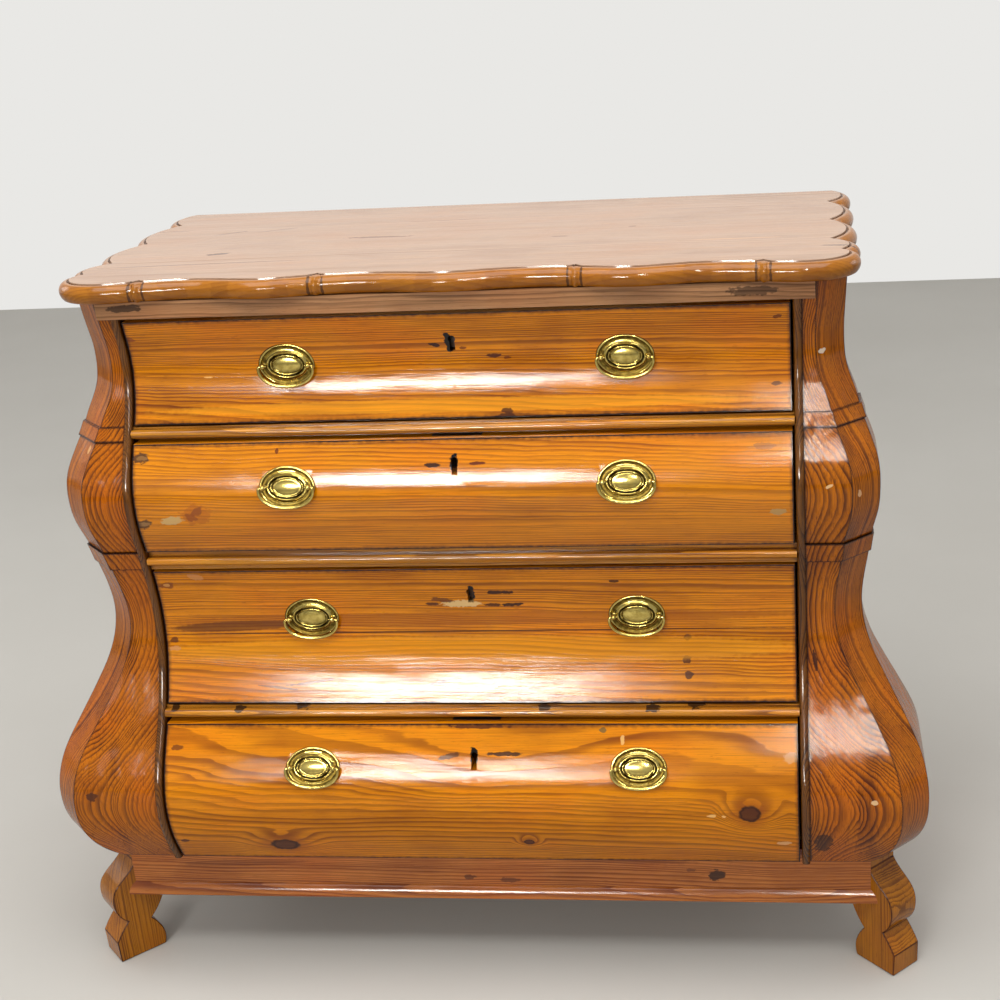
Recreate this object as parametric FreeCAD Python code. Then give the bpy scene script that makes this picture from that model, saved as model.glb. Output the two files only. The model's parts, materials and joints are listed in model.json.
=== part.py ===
import FreeCAD, Part
import math
import os
from FreeCAD import Vector

# Bombe chest of four drawers in pine. Millimetres, +Z up, -Y is the front, X runs left to right.
# The origin is on the floor, under the middle of the chest's bounding box.
# "Projection" is how far a surface stands forward of the face plane, the upright plane through
# the top edge of the uppermost drawer front. Depths behind that plane are negative projections.

# ---------------------------------------------------------------- driving dimensions: heights
base_height = 168.0            # floor to the underside of the stiles
top_thickness = 24.0
frieze_height = 21.0
frieze_gap = 4.5               # dark gap over the uppermost drawer
drawer_gap = 2.5               # gap round a drawer front, worn wide
base_gap = 2.0                 # gap under the lowest drawer front
front_heights = [123.5, 133.5, 170.0, 181.5]      # drawer fronts, uppermost first
rail_heights = [15.5, 24.5, 17.0]                 # rails under drawers 1, 2 and 3

# ---------------------------------------------------------------- driving dimensions: plan
face_y = -166.67               # the face plane, with the bounding box's middle at Y = 0
front_width = 786.0            # drawer fronts
bead_width = 10.0              # half-round strip beside the drawers
side_outer_x = 444.0           # outer face of the side panels
side_thickness = 18.0
back_depth = 423.0             # face plane to the outer face of the back boards
back_thickness = 12.0
cant_width = 33.5              # width in X, and in Y, of the 45 degree corner of a stile
stile_return_depth = 62.0      # face plane to the back of a stile
stile_recess = 4.0             # stile faces lie this far behind the drawer fronts
ring_stand = 2.5               # carved bands stand this far proud of the stile

# Front profile, drawer by drawer, uppermost first. Each station is a share of the drawer front's
# height, from its lower edge up, and the projection there.
front_profile = [
    [(0.0, 11.0), (0.19, -1.0), (0.43, -9.5), (0.69, -10.0), (0.95, -3.0)],
    [(0.0, 37.0), (0.13, 42.5), (0.39, 49.0), (0.61, 47.0), (0.87, 33.0), (1.0, 22.5)],
    [(0.0, 51.5), (0.13, 41.0), (0.36, 27.5), (0.59, 22.0), (0.83, 24.0), (1.0, 29.5)],
    [(0.0, 83.0), (0.22, 101.0), (0.41, 108.0), (0.6, 104.5), (0.81, 87.0), (1.0, 64.0)],
]
frieze_projection = 2.0

# Half width of the chest at the stiles' front arris, by the same shares.
arris_profile = [
    [(-0.11, 440.5), (0.07, 434.0), (0.31, 423.5), (0.59, 420.5), (0.91, 422.0)],
    [(0.02, 451.0), (0.24, 457.5), (0.46, 459.5), (0.69, 457.5), (0.87, 450.0)],
    [(0.04, 470.0), (0.24, 453.0), (0.45, 442.0), (0.62, 439.0), (0.8, 441.5), (0.97, 446.0)],
    [(0.0, 478.0), (0.035, 490.0), (0.12, 503.0), (0.25, 512.0), (0.41, 515.0), (0.57, 514.0),
     (0.77, 506.0), (0.96, 489.5)],
]
arris_at_base = 471.0
arris_at_top = 424.5

# ---------------------------------------------------------------- driving dimensions: joinery
running_clearance = 0.3        # under a drawer, over its runners
guide_clearance = 0.6          # beside a drawer, at each guide
front_thickness = 22.0         # least thickness of a drawer front
box_thickness = 12.0           # drawer sides and backs
box_drop = 10.0                # drawer sides stop this far below the top of the front
drawer_rear_space = 14.0       # behind a closed drawer
panel_thickness = 8.0          # drawer bottoms
panel_height = 10.0            # drawer bottom above the lower edge of the sides
groove_depth = 5.0
dovetail_length = 14.0
dovetail_root = 13.0
dovetail_flare = 3.0
rail_depth = 70.0
rail_bead_height = 10.0
rail_face_setback = 6.5        # face of a rail behind the profile, under its bead
bead_depth = 10.0              # from the back of a stile bead to its round nose's centre
bead_stand = 3.5               # beads stand this far proud of the profile
runner_height = 20.0
runner_width = 55.0
guide_height = 34.0
kicker_clearance = 3.0
frieze_depth = 60.0
frieze_half_width = 421.0
bottom_thickness = 18.0
side_tongue = 8.0              # side panel let into the stile
board_joint = 0.5              # open joints between the back boards
back_board_count = 4

# ---------------------------------------------------------------- driving dimensions: top
top_half_width = 474.0         # over the side lobes
top_notch_depth = 17.0         # how far the notches between the side lobes go in
top_back_depth = 445.0         # face plane to the rear edge
top_board_split = 76.0         # face plane to the joint between the two boards
top_step_height = 7.0
top_step_inset = 10.0
# Front edge, from the middle to the notch behind the corner: share of the half width, projection.
top_front_edge = [(0.0, 14.0), (0.105, 7.0), (0.198, 2.5), (0.316, 6.0), (0.38, 13.0), (0.447, 18.0),
                  (0.527, 14.0), (0.612, 6.5), (0.696, 8.0), (0.766, 13.0), (0.844, 20.0), (0.907, 18.0),
                  (0.96, 5.0), (0.992, -17.0), (0.998, -34.0), (0.985, -50.0)]
# Side edge: depths of the notches behind the face plane, front to back.
top_side_notches = [112.0, 228.0, 352.0]

# ---------------------------------------------------------------- driving dimensions: base
plinth_height = 75.0
plinth_projection = 52.0       # flat face of the front plinth
plinth_thickness = 22.0
plinth_nose_height = 17.0
plinth_nose_stand = 8.0        # lower moulding proud of the flat face
plinth_edge_round = 2.0
side_plinth_stand = 18.0       # side plinth proud of the side panel
foot_thickness = 46.0
foot_inner_x = 463.0           # foot's flat inner face meets the front plinth at this half width
foot_inner_projection = 35.0
back_foot_width = 50.0
back_foot_taper = 8.0          # narrower at the floor by this much
glue_block_leg = 28.0
glue_block_length = 90.0
glue_block_spacing = 250.0
# Outline of a front foot in its own upright plane: distance outwards along the diagonal, and share
# of the base's height.
foot_neck_outer = 21.0
foot_neck_inner = -16.0
foot_outer_upper = [(foot_neck_outer, 0.82), (36.0, 0.73), (55.0, 0.62), (58.5, 0.51), (44.0, 0.33)]
foot_outer_lower = [(44.0, 0.33), (54.0, 0.26), (63.0, 0.18)]
foot_toe = 62.0
foot_inner_lower = [(0.0, 0.0), (-2.0, 0.12), (3.0, 0.2), (12.0, 0.28)]
foot_inner_upper = [(12.0, 0.28), (0.0, 0.36), (-9.0, 0.45), (foot_neck_inner, 0.55)]

# ---------------------------------------------------------------- driving dimensions: handles
handle_x = 202.0
handle_height_shares = [0.52, 0.633, 0.607, 0.75]  # handle centres, share of each front's height
handle_tilts = [1.0, 15.0, 0.0, 23.0]              # degrees that each backplate faces upwards
plate_half_width = 34.0
plate_half_height = 25.5
# Section of a backplate from its rim inwards: distance in from the rim, height over the seat.
plate_section = [(0.0, 0.0), (0.0, 1.1), (0.8, 1.8), (2.0, 1.9), (3.0, 1.1), (7.5, 0.9), (9.6, 1.1),
                 (10.6, 2.4), (11.8, 2.6), (12.8, 1.5), (13.4, 2.1), (14.4, 2.1), (15.2, 1.2), (21.0, 1.7)]
seat_depths = [1.6, 1.0, 1.6, 1.5]                 # flat seats let into the curved fronts
seat_margin = 0.5
post_spacing = 55.0
post_shank_radius = 2.0
pivot_height = 8.5             # bail pivot above the seat
post_ball_radius = 3.2
pin_radius = 1.2
pin_clearance = 0.05
pin_end = 0.6                  # a pin's end stands this far out of the post
bail_radius = 2.0
bail_arm_clearance = 0.3       # beside a post
bail_drop = 24.5
bail_corner_radius = 14.0
bail_lean = [0.0, 10.0, 0.0, 10.0]                 # degrees that a bail leans in against its plate
nut_depth = 15.0               # wood between seat and nut
nut_height = 3.0
nut_radius = 4.6
nut_pocket_radius = 8.0

# ---------------------------------------------------------------- driving dimensions: locks
keyhole_drops = [33.0, 24.0, 34.0, 33.0]           # keyhole centres below the top of each front
keyhole_radius = 4.4           # keyholes worn large
keyhole_slot_width = 6.4
keyhole_slot_length = 14.5
lock_width = 60.0
lock_height = 46.0
lock_depth = 12.0
bolt_width = 24.0
bolt_thickness = 5.0
bolt_height = 28.0
bolt_clearance = 0.4
bolt_travel = 9.0
bolt_setback = 2.0             # bolt in front of the lock's inner face
mortise_margin = 1.0

# ---------------------------------------------------------------- levels worked out from them
drawer_count = len(front_heights)
front_bottoms = [0.0] * drawer_count
rail_bottoms = [0.0] * len(rail_heights)
plinth_bottom = base_height - plinth_height
level = base_height + base_gap
for index in reversed(range(drawer_count)):
    front_bottoms[index] = level
    level += front_heights[index]
    if index > 0:
        rail_bottoms[index - 1] = level + drawer_gap
        level += drawer_gap + rail_heights[index - 1] + drawer_gap
frieze_bottom = level + frieze_gap
carcase_top = frieze_bottom + frieze_height
chest_height = carcase_top + top_thickness

front_half = front_width / 2
bead_inner_x = front_half + drawer_gap
stile_inner_x = bead_inner_x + bead_width
side_inner_x = side_outer_x - side_thickness
back_inner_y = face_y + back_depth - back_thickness
back_outer_y = face_y + back_depth
stile_back_y = face_y + stile_return_depth
drawer_back_y = back_inner_y - drawer_rear_space
wide = 700.0                   # larger than any half width or depth, for trimming solids
overrun = 6.0                  # profiles run this far past the carcase before they are trimmed


def box(x0, x1, y0, y1, z0, z1):
    """A block between two corners."""
    return Part.makeBox(x1 - x0, y1 - y0, z1 - z0, Vector(x0, y0, z0))


def mirrored(shape):
    """The same piece on the other side of the chest."""
    return shape.mirror(Vector(0, 0, 0), Vector(1, 0, 0))


def save(name, *solids):
    """Write one node: one piece, or a set of like pieces that stay separate solids."""
    node = solids[0] if len(solids) == 1 else Part.makeCompound(list(solids))
    node.exportStep("parts/" + name + ".step")


# ---------------------------------------------------------------- the bombe curves
def stations(profile, at_base, at_top):
    """Profile stations as heights and values, lowest first."""
    found = []
    if at_base is not None:
        found.append((base_height, at_base))
    for drawer in reversed(range(drawer_count)):
        for share, value in profile[drawer]:
            found.append((front_bottoms[drawer] + share * front_heights[drawer], value))
    found.append((carcase_top, at_top))
    return found


def smooth_value(points, z):
    """Value at a height on a smooth curve through the stations, straight on past its ends."""
    last = len(points) - 2
    span = max(i for i in range(len(points) - 1) if i == 0 or points[i][0] <= z)
    span = min(span, last)

    def chord(i):
        return (points[i + 1][1] - points[i][1]) / (points[i + 1][0] - points[i][0])

    def slope(i):
        if i == 0:
            return chord(0)
        if i > last:
            return chord(last)
        before = points[i][0] - points[i - 1][0]
        after = points[i + 1][0] - points[i][0]
        return (chord(i - 1) * after + chord(i) * before) / (before + after)

    z0, v0 = points[span]
    z1, v1 = points[span + 1]
    if z < z0:
        return v0 + slope(0) * (z - z0)
    if z > z1:
        return v1 + slope(last + 1) * (z - z1)
    length = z1 - z0
    t = (z - z0) / length
    rise = (2 * t**3 - 3 * t**2 + 1) * v0 + (3 * t**2 - 2 * t**3) * v1
    bend = (t**3 - 2 * t**2 + t) * slope(span) + (t**3 - t**2) * slope(span + 1)
    return rise + bend * length


front_stations = stations(front_profile, None, frieze_projection)
arris_stations = stations(arris_profile, arris_at_base, arris_at_top)


def projection(z):
    return smooth_value(front_stations, z)


def arris_x(z):
    return smooth_value(arris_stations, z)


def curve_heights():
    """Heights at which the long curves are threaded, closer together at the foot of the stile."""
    low = base_height - overrun
    high = carcase_top + overrun
    count = 44
    return [low + (high - low) * i / count for i in range(count + 1)]


def profile_face(value, inner, place):
    """Flat face between the curve of value(z) and the upright line at inner."""
    heights = curve_heights()
    curve = Part.BSplineCurve()
    curve.interpolate([place(value(z), z) for z in heights])
    low, high = heights[0], heights[-1]
    corners = [place(value(high), high), place(inner, high), place(inner, low), place(value(low), low)]
    edges = [curve.toShape()]
    edges += [Part.makeLine(a, b) for a, b in zip(corners, corners[1:])]
    return Part.Face(Part.Wire(edges))


def front_blank(x0, x1, depth, recess):
    """Wood from the bombe front, set back by recess, to depth behind the face plane."""
    def place(forward, z):
        return Vector(x0, face_y - forward, z)
    face = profile_face(lambda z: projection(z) - recess, -depth, place)
    return face.extrude(Vector(x1 - x0, 0, 0))


def cant_blank(stand):
    """Everything inside the right-hand 45 degree canted faces."""
    def place(across, z):
        return Vector(across - wide, -across - wide, z)
    face = profile_face(
        lambda z: (arris_x(z) + projection(z) - stile_recess - face_y) / 2 + stand / math.sqrt(2),
        0.0, place)
    return face.extrude(Vector(2 * wide, 2 * wide, 0))


def side_blank(stand):
    """Everything inside the outer side of the right-hand stile."""
    def place(across, z):
        return Vector(across, -wide, z)
    face = profile_face(lambda z: arris_x(z) + cant_width + stand, 0.0, place)
    return face.extrude(Vector(0, 2 * wide, 0))


def stile_core(stand, z0, z1):
    """Right-hand stile between two heights, its carved faces moved out by stand."""
    core = front_blank(stile_inner_x, wide, stile_return_depth, stile_recess - stand)
    core = core.common(box(stile_inner_x, wide, -wide, stile_back_y, z0, z1))
    return core.common(cant_blank(stand)).common(side_blank(stand))


def side_panel():
    """Right-hand side panel: its front edge let into the stile, its foot run on under the stile."""
    low = bottom_board_bottom()
    panel_board = box(side_inner_x, side_outer_x, stile_back_y - side_tongue, back_outer_y, low, carcase_top)
    foot_rail = box(side_inner_x, side_outer_x, plinth_back_y(), back_outer_y, low, base_height)
    return panel_board.fuse(foot_rail).removeSplitter()


def frieze_rail():
    front_y = face_y - frieze_projection
    return box(-frieze_half_width, frieze_half_width, front_y, front_y + frieze_depth,
               frieze_bottom, carcase_top)


def stile():
    """Right-hand corner stile: a thick carved block with two ring bands level with the rails."""
    body = stile_core(0.0, base_height, carcase_top)
    for ring in (0, 1):
        z0 = rail_bottoms[ring]
        body = body.fuse(stile_core(ring_stand, z0, z0 + rail_heights[ring]))
    body = body.cut(side_panel())
    body = body.cut(frieze_rail())
    return body.removeSplitter()


def half_round(place, radius, depth):
    """Outline of a strip with a half-round nose; place(across, forward) from the nose's centre."""
    arc = Part.Arc(place(radius, 0), place(0, radius), place(-radius, 0))
    return Part.Wire([
        Part.makeLine(place(-radius, -depth), place(radius, -depth)),
        Part.makeLine(place(radius, -depth), place(radius, 0)),
        arc.toShape(),
        Part.makeLine(place(-radius, 0), place(-radius, -depth)),
    ])


def bead_centre_y(z, radius):
    return face_y - projection(z) - bead_stand + radius


def stile_bead():
    """Half-round strip down the inner edge of the right-hand stile, following the bombe front."""
    radius = bead_width / 2
    middle = bead_inner_x + radius
    sections = []
    count = 30
    for index in range(count + 1):
        z = base_height + (frieze_bottom - base_height) * index / count
        centre = bead_centre_y(z, radius)
        sections.append(half_round(lambda a, f: Vector(middle + a, centre - f, z), radius, bead_depth))
    return Part.makeLoft(sections, True, False)


# ---------------------------------------------------------------- rails between the drawers
def rail_face_y(index):
    middle = rail_bottoms[index] + rail_heights[index] / 2
    return face_y - projection(middle) + rail_face_setback


def inner_face_y(drawer):
    """Flat inner face of a drawer front: its thinnest place is front_thickness thick."""
    z0 = front_bottoms[drawer]
    least = min(projection(z0 + front_heights[drawer] * i / 20) for i in range(21))
    return face_y - least + front_thickness


def bolt_box(drawer, margin, rise):
    """Space of a lock bolt, grown by margin and lifted by rise."""
    top = front_bottoms[drawer] + front_heights[drawer] - bolt_clearance + rise
    back = inner_face_y(drawer) - bolt_setback
    return box(-bolt_width / 2 - margin, bolt_width / 2 + margin,
               back - bolt_thickness - margin, back + margin,
               top - bolt_height - margin, top + margin)


def drawer_rail(index):
    """Rail under drawer index, with a mortise for the bolt of the lock below."""
    y0 = rail_face_y(index)
    z0 = rail_bottoms[index]
    rail = box(-stile_inner_x, stile_inner_x, y0, y0 + rail_depth, z0, z0 + rail_heights[index])
    bead = stile_bead()
    rail = rail.cut(bead).cut(mirrored(bead))
    return rail.cut(bolt_box(index + 1, mortise_margin, bolt_travel))


def rail_bead(index):
    """Half-round strip along the face of a rail, between the stile beads."""
    radius = rail_bead_height / 2
    middle = rail_bottoms[index] + rail_heights[index] / 2
    centre = bead_centre_y(middle, radius)
    depth = rail_face_y(index) - centre
    outline = half_round(lambda a, f: Vector(-bead_inner_x, centre - f, middle + a), radius, depth)
    return Part.Face(outline).extrude(Vector(2 * bead_inner_x, 0, 0))


# ---------------------------------------------------------------- top
def top_front_points(inset):
    """Right half of the top's front edge, moved in square to the edge."""
    points = [Vector(share * top_half_width, face_y - forward, 0) for share, forward in top_front_edge]
    befores = [Vector(-points[1].x, points[1].y, 0)] + points
    afters = points[1:] + points[-1:]
    moved = []
    for before, point, after in zip(befores, points, afters):
        along = (after - before).normalize()
        moved.append(point + Vector(-along.y, along.x, 0) * inset)
    return moved


def top_outline(inset, z):
    """Scalloped outline of the top: a wave along the front, round lobes along the sides."""
    right = top_front_points(inset)
    left = [Vector(-p.x, p.y, 0) for p in reversed(right[1:])]
    front = Part.BSplineCurve()
    front.interpolate(left + right)
    edges = [front.toShape()]
    notches = [(right[-1].x, right[-1].y)]
    notch_x = top_half_width - top_notch_depth - inset
    notches += [(notch_x, face_y + depth) for depth in top_side_notches]
    notches.append((notch_x, face_y + top_back_depth))
    for side in (1, -1):
        for (x0, y0), (x1, y1) in zip(notches, notches[1:]):
            peak = top_half_width - inset
            arc = Part.Arc(Vector(side * x0, y0, 0), Vector(side * peak, (y0 + y1) / 2, 0),
                           Vector(side * x1, y1, 0))
            edges.append(arc.toShape())
    end_x, end_y = notches[-1]
    edges.append(Part.makeLine(Vector(-end_x, end_y, 0), Vector(end_x, end_y, 0)))
    outline = Part.Wire(Part.__sortEdges__(edges))
    outline.translate(Vector(0, 0, z))
    return outline


def top_slab():
    """Both top boards in one: the full outline below, and a stepped-in upper face."""
    step_z = chest_height - top_step_height
    lower = Part.Face(top_outline(0.0, carcase_top)).extrude(Vector(0, 0, step_z - carcase_top))
    upper = Part.Face(top_outline(top_step_inset, step_z)).extrude(Vector(0, 0, top_step_height))
    return lower.fuse(upper).removeSplitter()


def make_top():
    slab = top_slab()
    split_y = face_y + top_board_split
    low, high = carcase_top - 1, chest_height + 1
    save("top_front_board", slab.common(box(-wide, wide, -wide, split_y, low, high)))
    save("top_back_board", slab.common(box(-wide, wide, split_y, wide, low, high)))


# ---------------------------------------------------------------- base
foot_out = Vector(1, -1, 0).normalize()


def foot_side_plane():
    """Start of a front foot's flat inner face, at the front plinth's end."""
    return Vector(foot_inner_x, face_y - foot_inner_projection, 0)


def behind_feet(y0, y1):
    """Block that trims the front plinth to the feet's flat inner faces, mitred at 45 degrees."""
    start = foot_side_plane()
    half = [start.x - (y - start.y) for y in (y0, y1)]
    points = [Vector(-half[0], y0, 0), Vector(half[0], y0, 0),
              Vector(half[1], y1, 0), Vector(-half[1], y1, 0)]
    face = Part.Face(Part.makePolygon(points + points[:1]))
    return face.extrude(Vector(0, 0, base_height))


def plinth_profile(place, thickness):
    """Flat face over a round-nosed lower moulding: place(stand, z), stand from the flat face."""
    nose_top = plinth_bottom + plinth_nose_height
    edge_z = plinth_bottom + plinth_edge_round
    back_low = place(-thickness, plinth_bottom)
    back_high = place(-thickness, base_height)
    front_high = place(0, base_height)
    nose_start = place(0, nose_top)
    nose_middle = place(plinth_nose_stand * 0.82, (nose_top + edge_z) / 2)
    nose_end = place(plinth_nose_stand, edge_z)
    edge_end = place(plinth_nose_stand - plinth_edge_round, plinth_bottom)
    edges = [Part.makeLine(back_low, back_high), Part.makeLine(back_high, front_high),
             Part.makeLine(front_high, nose_start), Part.Arc(nose_start, nose_middle, nose_end).toShape(),
             Part.makeLine(nose_end, edge_end), Part.makeLine(edge_end, back_low)]
    return Part.Face(Part.Wire(edges))


def front_plinth():
    front = face_y - plinth_projection
    profile = plinth_profile(lambda stand, z: Vector(-wide, front - stand, z), plinth_thickness)
    length = profile.extrude(Vector(2 * wide, 0, 0))
    return length.common(behind_feet(front - plinth_nose_stand - 1, front + plinth_thickness + 1))


def plinth_back_y():
    return face_y - plinth_projection + plinth_thickness


def side_plinth():
    """Right-hand side plinth, glued to the side panel, its front end cut to butt on the foot."""
    y0 = plinth_back_y()
    outer = side_outer_x + side_plinth_stand
    profile = plinth_profile(lambda stand, z: Vector(outer + stand, y0, z), side_plinth_stand)
    length = profile.extrude(Vector(0, back_outer_y - y0, 0))
    start = foot_side_plane() + foot_out * foot_neck_inner
    along = Vector(1, 1, 0) * wide
    points = [start - along, start + along, start + along + foot_out * wide, start - along + foot_out * wide]
    beyond = Part.Face(Part.makePolygon(points + points[:1])).extrude(Vector(0, 0, base_height))
    return length.cut(beyond)


def front_foot():
    """Right-hand front foot: a thick scroll-cut block set on the corner's diagonal."""
    start = foot_side_plane()

    def place(distance, share):
        return start + foot_out * distance + Vector(0, 0, share * base_height)

    def curve(points):
        spline = Part.BSplineCurve()
        spline.interpolate([place(*point) for point in points])
        return spline.toShape()

    neck_outer = place(foot_neck_outer, 1.0)
    neck_inner = place(foot_neck_inner, 1.0)
    toe = place(foot_toe, 0.0)
    edges = [
        Part.makeLine(neck_inner, neck_outer),
        Part.makeLine(neck_outer, place(*foot_outer_upper[0])),
        curve(foot_outer_upper),
        curve(foot_outer_lower),
        Part.makeLine(place(*foot_outer_lower[-1]), toe),
        Part.makeLine(toe, place(*foot_inner_lower[0])),
        curve(foot_inner_lower),
        curve(foot_inner_upper),
        Part.makeLine(place(*foot_inner_upper[-1]), neck_inner),
    ]
    face = Part.Face(Part.Wire(Part.__sortEdges__(edges)))
    across = Vector(1, 1, 0).normalize() * foot_thickness
    return face.extrude(across)


def back_foot():
    """Right-hand back foot: a plain square block, a little narrower at the floor."""
    ends = []
    for width, z in ((back_foot_width - back_foot_taper, 0.0), (back_foot_width, bottom_board_bottom())):
        x, y = side_outer_x, back_outer_y
        corners = [Vector(x - width, y - width, z), Vector(x, y - width, z), Vector(x, y, z),
                   Vector(x - width, y, z)]
        ends.append(Part.makePolygon(corners + corners[:1]))
    return Part.makeLoft(ends, True, True)


def bottom_board_top():
    return base_height + base_gap - running_clearance - runner_height


def bottom_board_bottom():
    return bottom_board_top() - bottom_thickness


def bottom_board():
    return box(-side_inner_x, side_inner_x, plinth_back_y(), back_inner_y,
               bottom_board_bottom(), bottom_board_top())


def glue_blocks():
    """Triangular blocks rubbed into the corner between the front plinth and the bottom board."""
    y0 = plinth_back_y()
    z0 = bottom_board_bottom()
    corner = [Vector(0, y0, z0), Vector(0, y0 + glue_block_leg, z0), Vector(0, y0, z0 - glue_block_leg)]
    face = Part.Face(Part.makePolygon(corner + corner[:1]))
    blocks = []
    for middle in (-glue_block_spacing, 0.0, glue_block_spacing):
        block = face.extrude(Vector(glue_block_length, 0, 0))
        block.translate(Vector(middle - glue_block_length / 2, 0, 0))
        blocks.append(block)
    return blocks


# ---------------------------------------------------------------- drawers
def runner_top(drawer):
    return front_bottoms[drawer] - running_clearance


def rail_back_y(drawer):
    """Back of the rail under a drawer, where its runners and guides start."""
    if drawer == drawer_count - 1:
        return plinth_back_y()
    return rail_face_y(drawer) + rail_depth


def clear_of_stile(shape):
    """Notch a right-hand batten round the back corner of the stile."""
    return shape.cut(box(stile_inner_x, wide, -wide, stile_back_y, 0.0, chest_height))


def runners_and_guides():
    runners, guides = [], []
    for drawer in range(drawer_count):
        top = runner_top(drawer)
        start = rail_back_y(drawer)
        runner = box(side_inner_x - runner_width, side_inner_x, start, back_inner_y,
                     top - runner_height, top)
        runner = clear_of_stile(runner)
        guide = box(front_half + guide_clearance, side_inner_x, max(start, stile_back_y), back_inner_y,
                    top, top + guide_height)
        runners += [runner, mirrored(runner)]
        guides += [guide, mirrored(guide)]
    return runners, guides


def kickers():
    """Battens under the top that keep the uppermost drawer level and hold the top boards."""
    drawer_top = front_bottoms[0] + front_heights[0] - box_drop
    start = face_y - frieze_projection + frieze_depth
    batten = box(side_inner_x - runner_width, side_inner_x, start, back_inner_y,
                 drawer_top + kicker_clearance, carcase_top)
    batten = clear_of_stile(batten)
    return [batten, mirrored(batten)]


def dovetails(drawer):
    """Tails on the front end of the right-hand drawer side, lapped into the front."""
    y_in = inner_face_y(drawer)
    z0 = front_bottoms[drawer]
    height = front_heights[drawer] - box_drop
    count = max(2, round(height / 38.0))
    tails = []
    for index in range(count):
        middle = z0 + panel_height + panel_thickness + 4.0
        middle += (height - panel_height - panel_thickness - 8.0) * (index + 0.5) / count
        root = dovetail_root / 2
        wide_end = root + dovetail_flare
        points = [Vector(0, y_in, middle - root), Vector(0, y_in - dovetail_length, middle - wide_end),
                  Vector(0, y_in - dovetail_length, middle + wide_end), Vector(0, y_in, middle + root)]
        tail = Part.Face(Part.makePolygon(points + points[:1])).extrude(Vector(box_thickness, 0, 0))
        tail.translate(Vector(front_half - box_thickness, 0, 0))
        tails.append(tail)
    return tails


def panel(drawer):
    """Drawer bottom, held in grooves in the front and the sides."""
    reach = front_half - box_thickness + groove_depth
    z0 = front_bottoms[drawer] + panel_height
    return box(-reach, reach, inner_face_y(drawer) - groove_depth, drawer_back_y, z0, z0 + panel_thickness)


def drawer_side(drawer):
    z0 = front_bottoms[drawer]
    side = box(front_half - box_thickness, front_half, inner_face_y(drawer), drawer_back_y,
               z0, z0 + front_heights[drawer] - box_drop)
    side = side.cut(panel(drawer))
    for tail in dovetails(drawer):
        side = side.fuse(tail)
    return side.removeSplitter()


def drawer_back(drawer):
    inner = front_half - box_thickness
    z0 = front_bottoms[drawer]
    low = z0 + panel_height + panel_thickness
    return box(-inner, inner, drawer_back_y - box_thickness, drawer_back_y, low,
               z0 + front_heights[drawer] - box_drop - 6.0)


class Handle:
    """Local frame of one handle: the seat's centre, and the axis out of the seat."""

    def __init__(self, drawer, side):
        self.drawer = drawer
        z = front_bottoms[drawer] + handle_height_shares[drawer] * front_heights[drawer]
        tilt = math.radians(handle_tilts[drawer])
        self.out = Vector(0, -math.cos(tilt), math.sin(tilt))
        surface = Vector(side * handle_x, face_y - projection(z), z)
        self.seat = surface - self.out * seat_depths[drawer]
        turn = FreeCAD.Rotation(Vector(1, 0, 0), -handle_tilts[drawer])
        self.placement = FreeCAD.Placement(self.seat, turn)

    def placed(self, shape):
        """A piece made with its seat in the XZ plane and its front towards -Y, put in place."""
        copy = shape.copy()
        copy.Placement = self.placement.multiply(copy.Placement)
        return copy

    def pivot(self):
        return self.seat + self.out * pivot_height


def oval(inset, height):
    """Oval wire, inset from the backplate's rim, at a height over the seat."""
    shape = Part.Ellipse(Vector(0, 0, 0), plate_half_width - inset, plate_half_height - inset)
    wire = Part.Wire([shape.toShape()])
    wire.rotate(Vector(0, 0, 0), Vector(1, 0, 0), 90)
    wire.translate(Vector(0, -height, 0))
    return wire


def turned(profile):
    """Turn a closed (radius, height) outline about the Y axis, heights towards -Y."""
    points = [Vector(r, -h, 0) for r, h in profile]
    face = Part.Face(Part.makePolygon(points + points[:1]))
    return face.revolve(Vector(0, 0, 0), Vector(0, 1, 0), 360)


def backplate():
    """Oval stamped plate: rolled rim, flat field, ridge, bead and dished centre, with two holes."""
    plate = Part.makeLoft([oval(inset, height) for inset, height in plate_section], True, True)
    for x in (-post_spacing / 2, post_spacing / 2):
        hole = Part.makeCylinder(post_shank_radius, 6, Vector(x, 1, 0), Vector(0, -1, 0))
        plate = plate.cut(hole)
    return plate


def post_and_nut():
    """One cast post with its threaded shank, and the nut behind the wood."""
    shank_end = -(nut_depth + nut_height + 1.5)
    ball = post_ball_radius
    post = turned([(0, shank_end), (post_shank_radius, shank_end), (post_shank_radius, 1.1), (3.0, 1.1),
                   (3.0, 2.2), (2.3, 3.0), (2.1, 4.6), (2.1, 6.5), (0, 6.5)])
    post = post.fuse(Part.makeSphere(ball, Vector(0, -pivot_height, 0)))
    eye = Part.makeCylinder(pin_radius + pin_clearance, 4 * ball,
                            Vector(-2 * ball, -pivot_height, 0), Vector(1, 0, 0))
    turns = [math.radians(60 * i) for i in range(7)]
    hexagon = [Vector(nut_radius * math.cos(t), nut_depth, nut_radius * math.sin(t)) for t in turns]
    nut = Part.Face(Part.makePolygon(hexagon)).extrude(Vector(0, nut_height, 0))
    thread = Part.makeCylinder(post_shank_radius, 4 * nut_height,
                               Vector(0, nut_depth - nut_height, 0), Vector(0, 1, 0))
    return post.cut(eye), nut.cut(thread)


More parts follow.
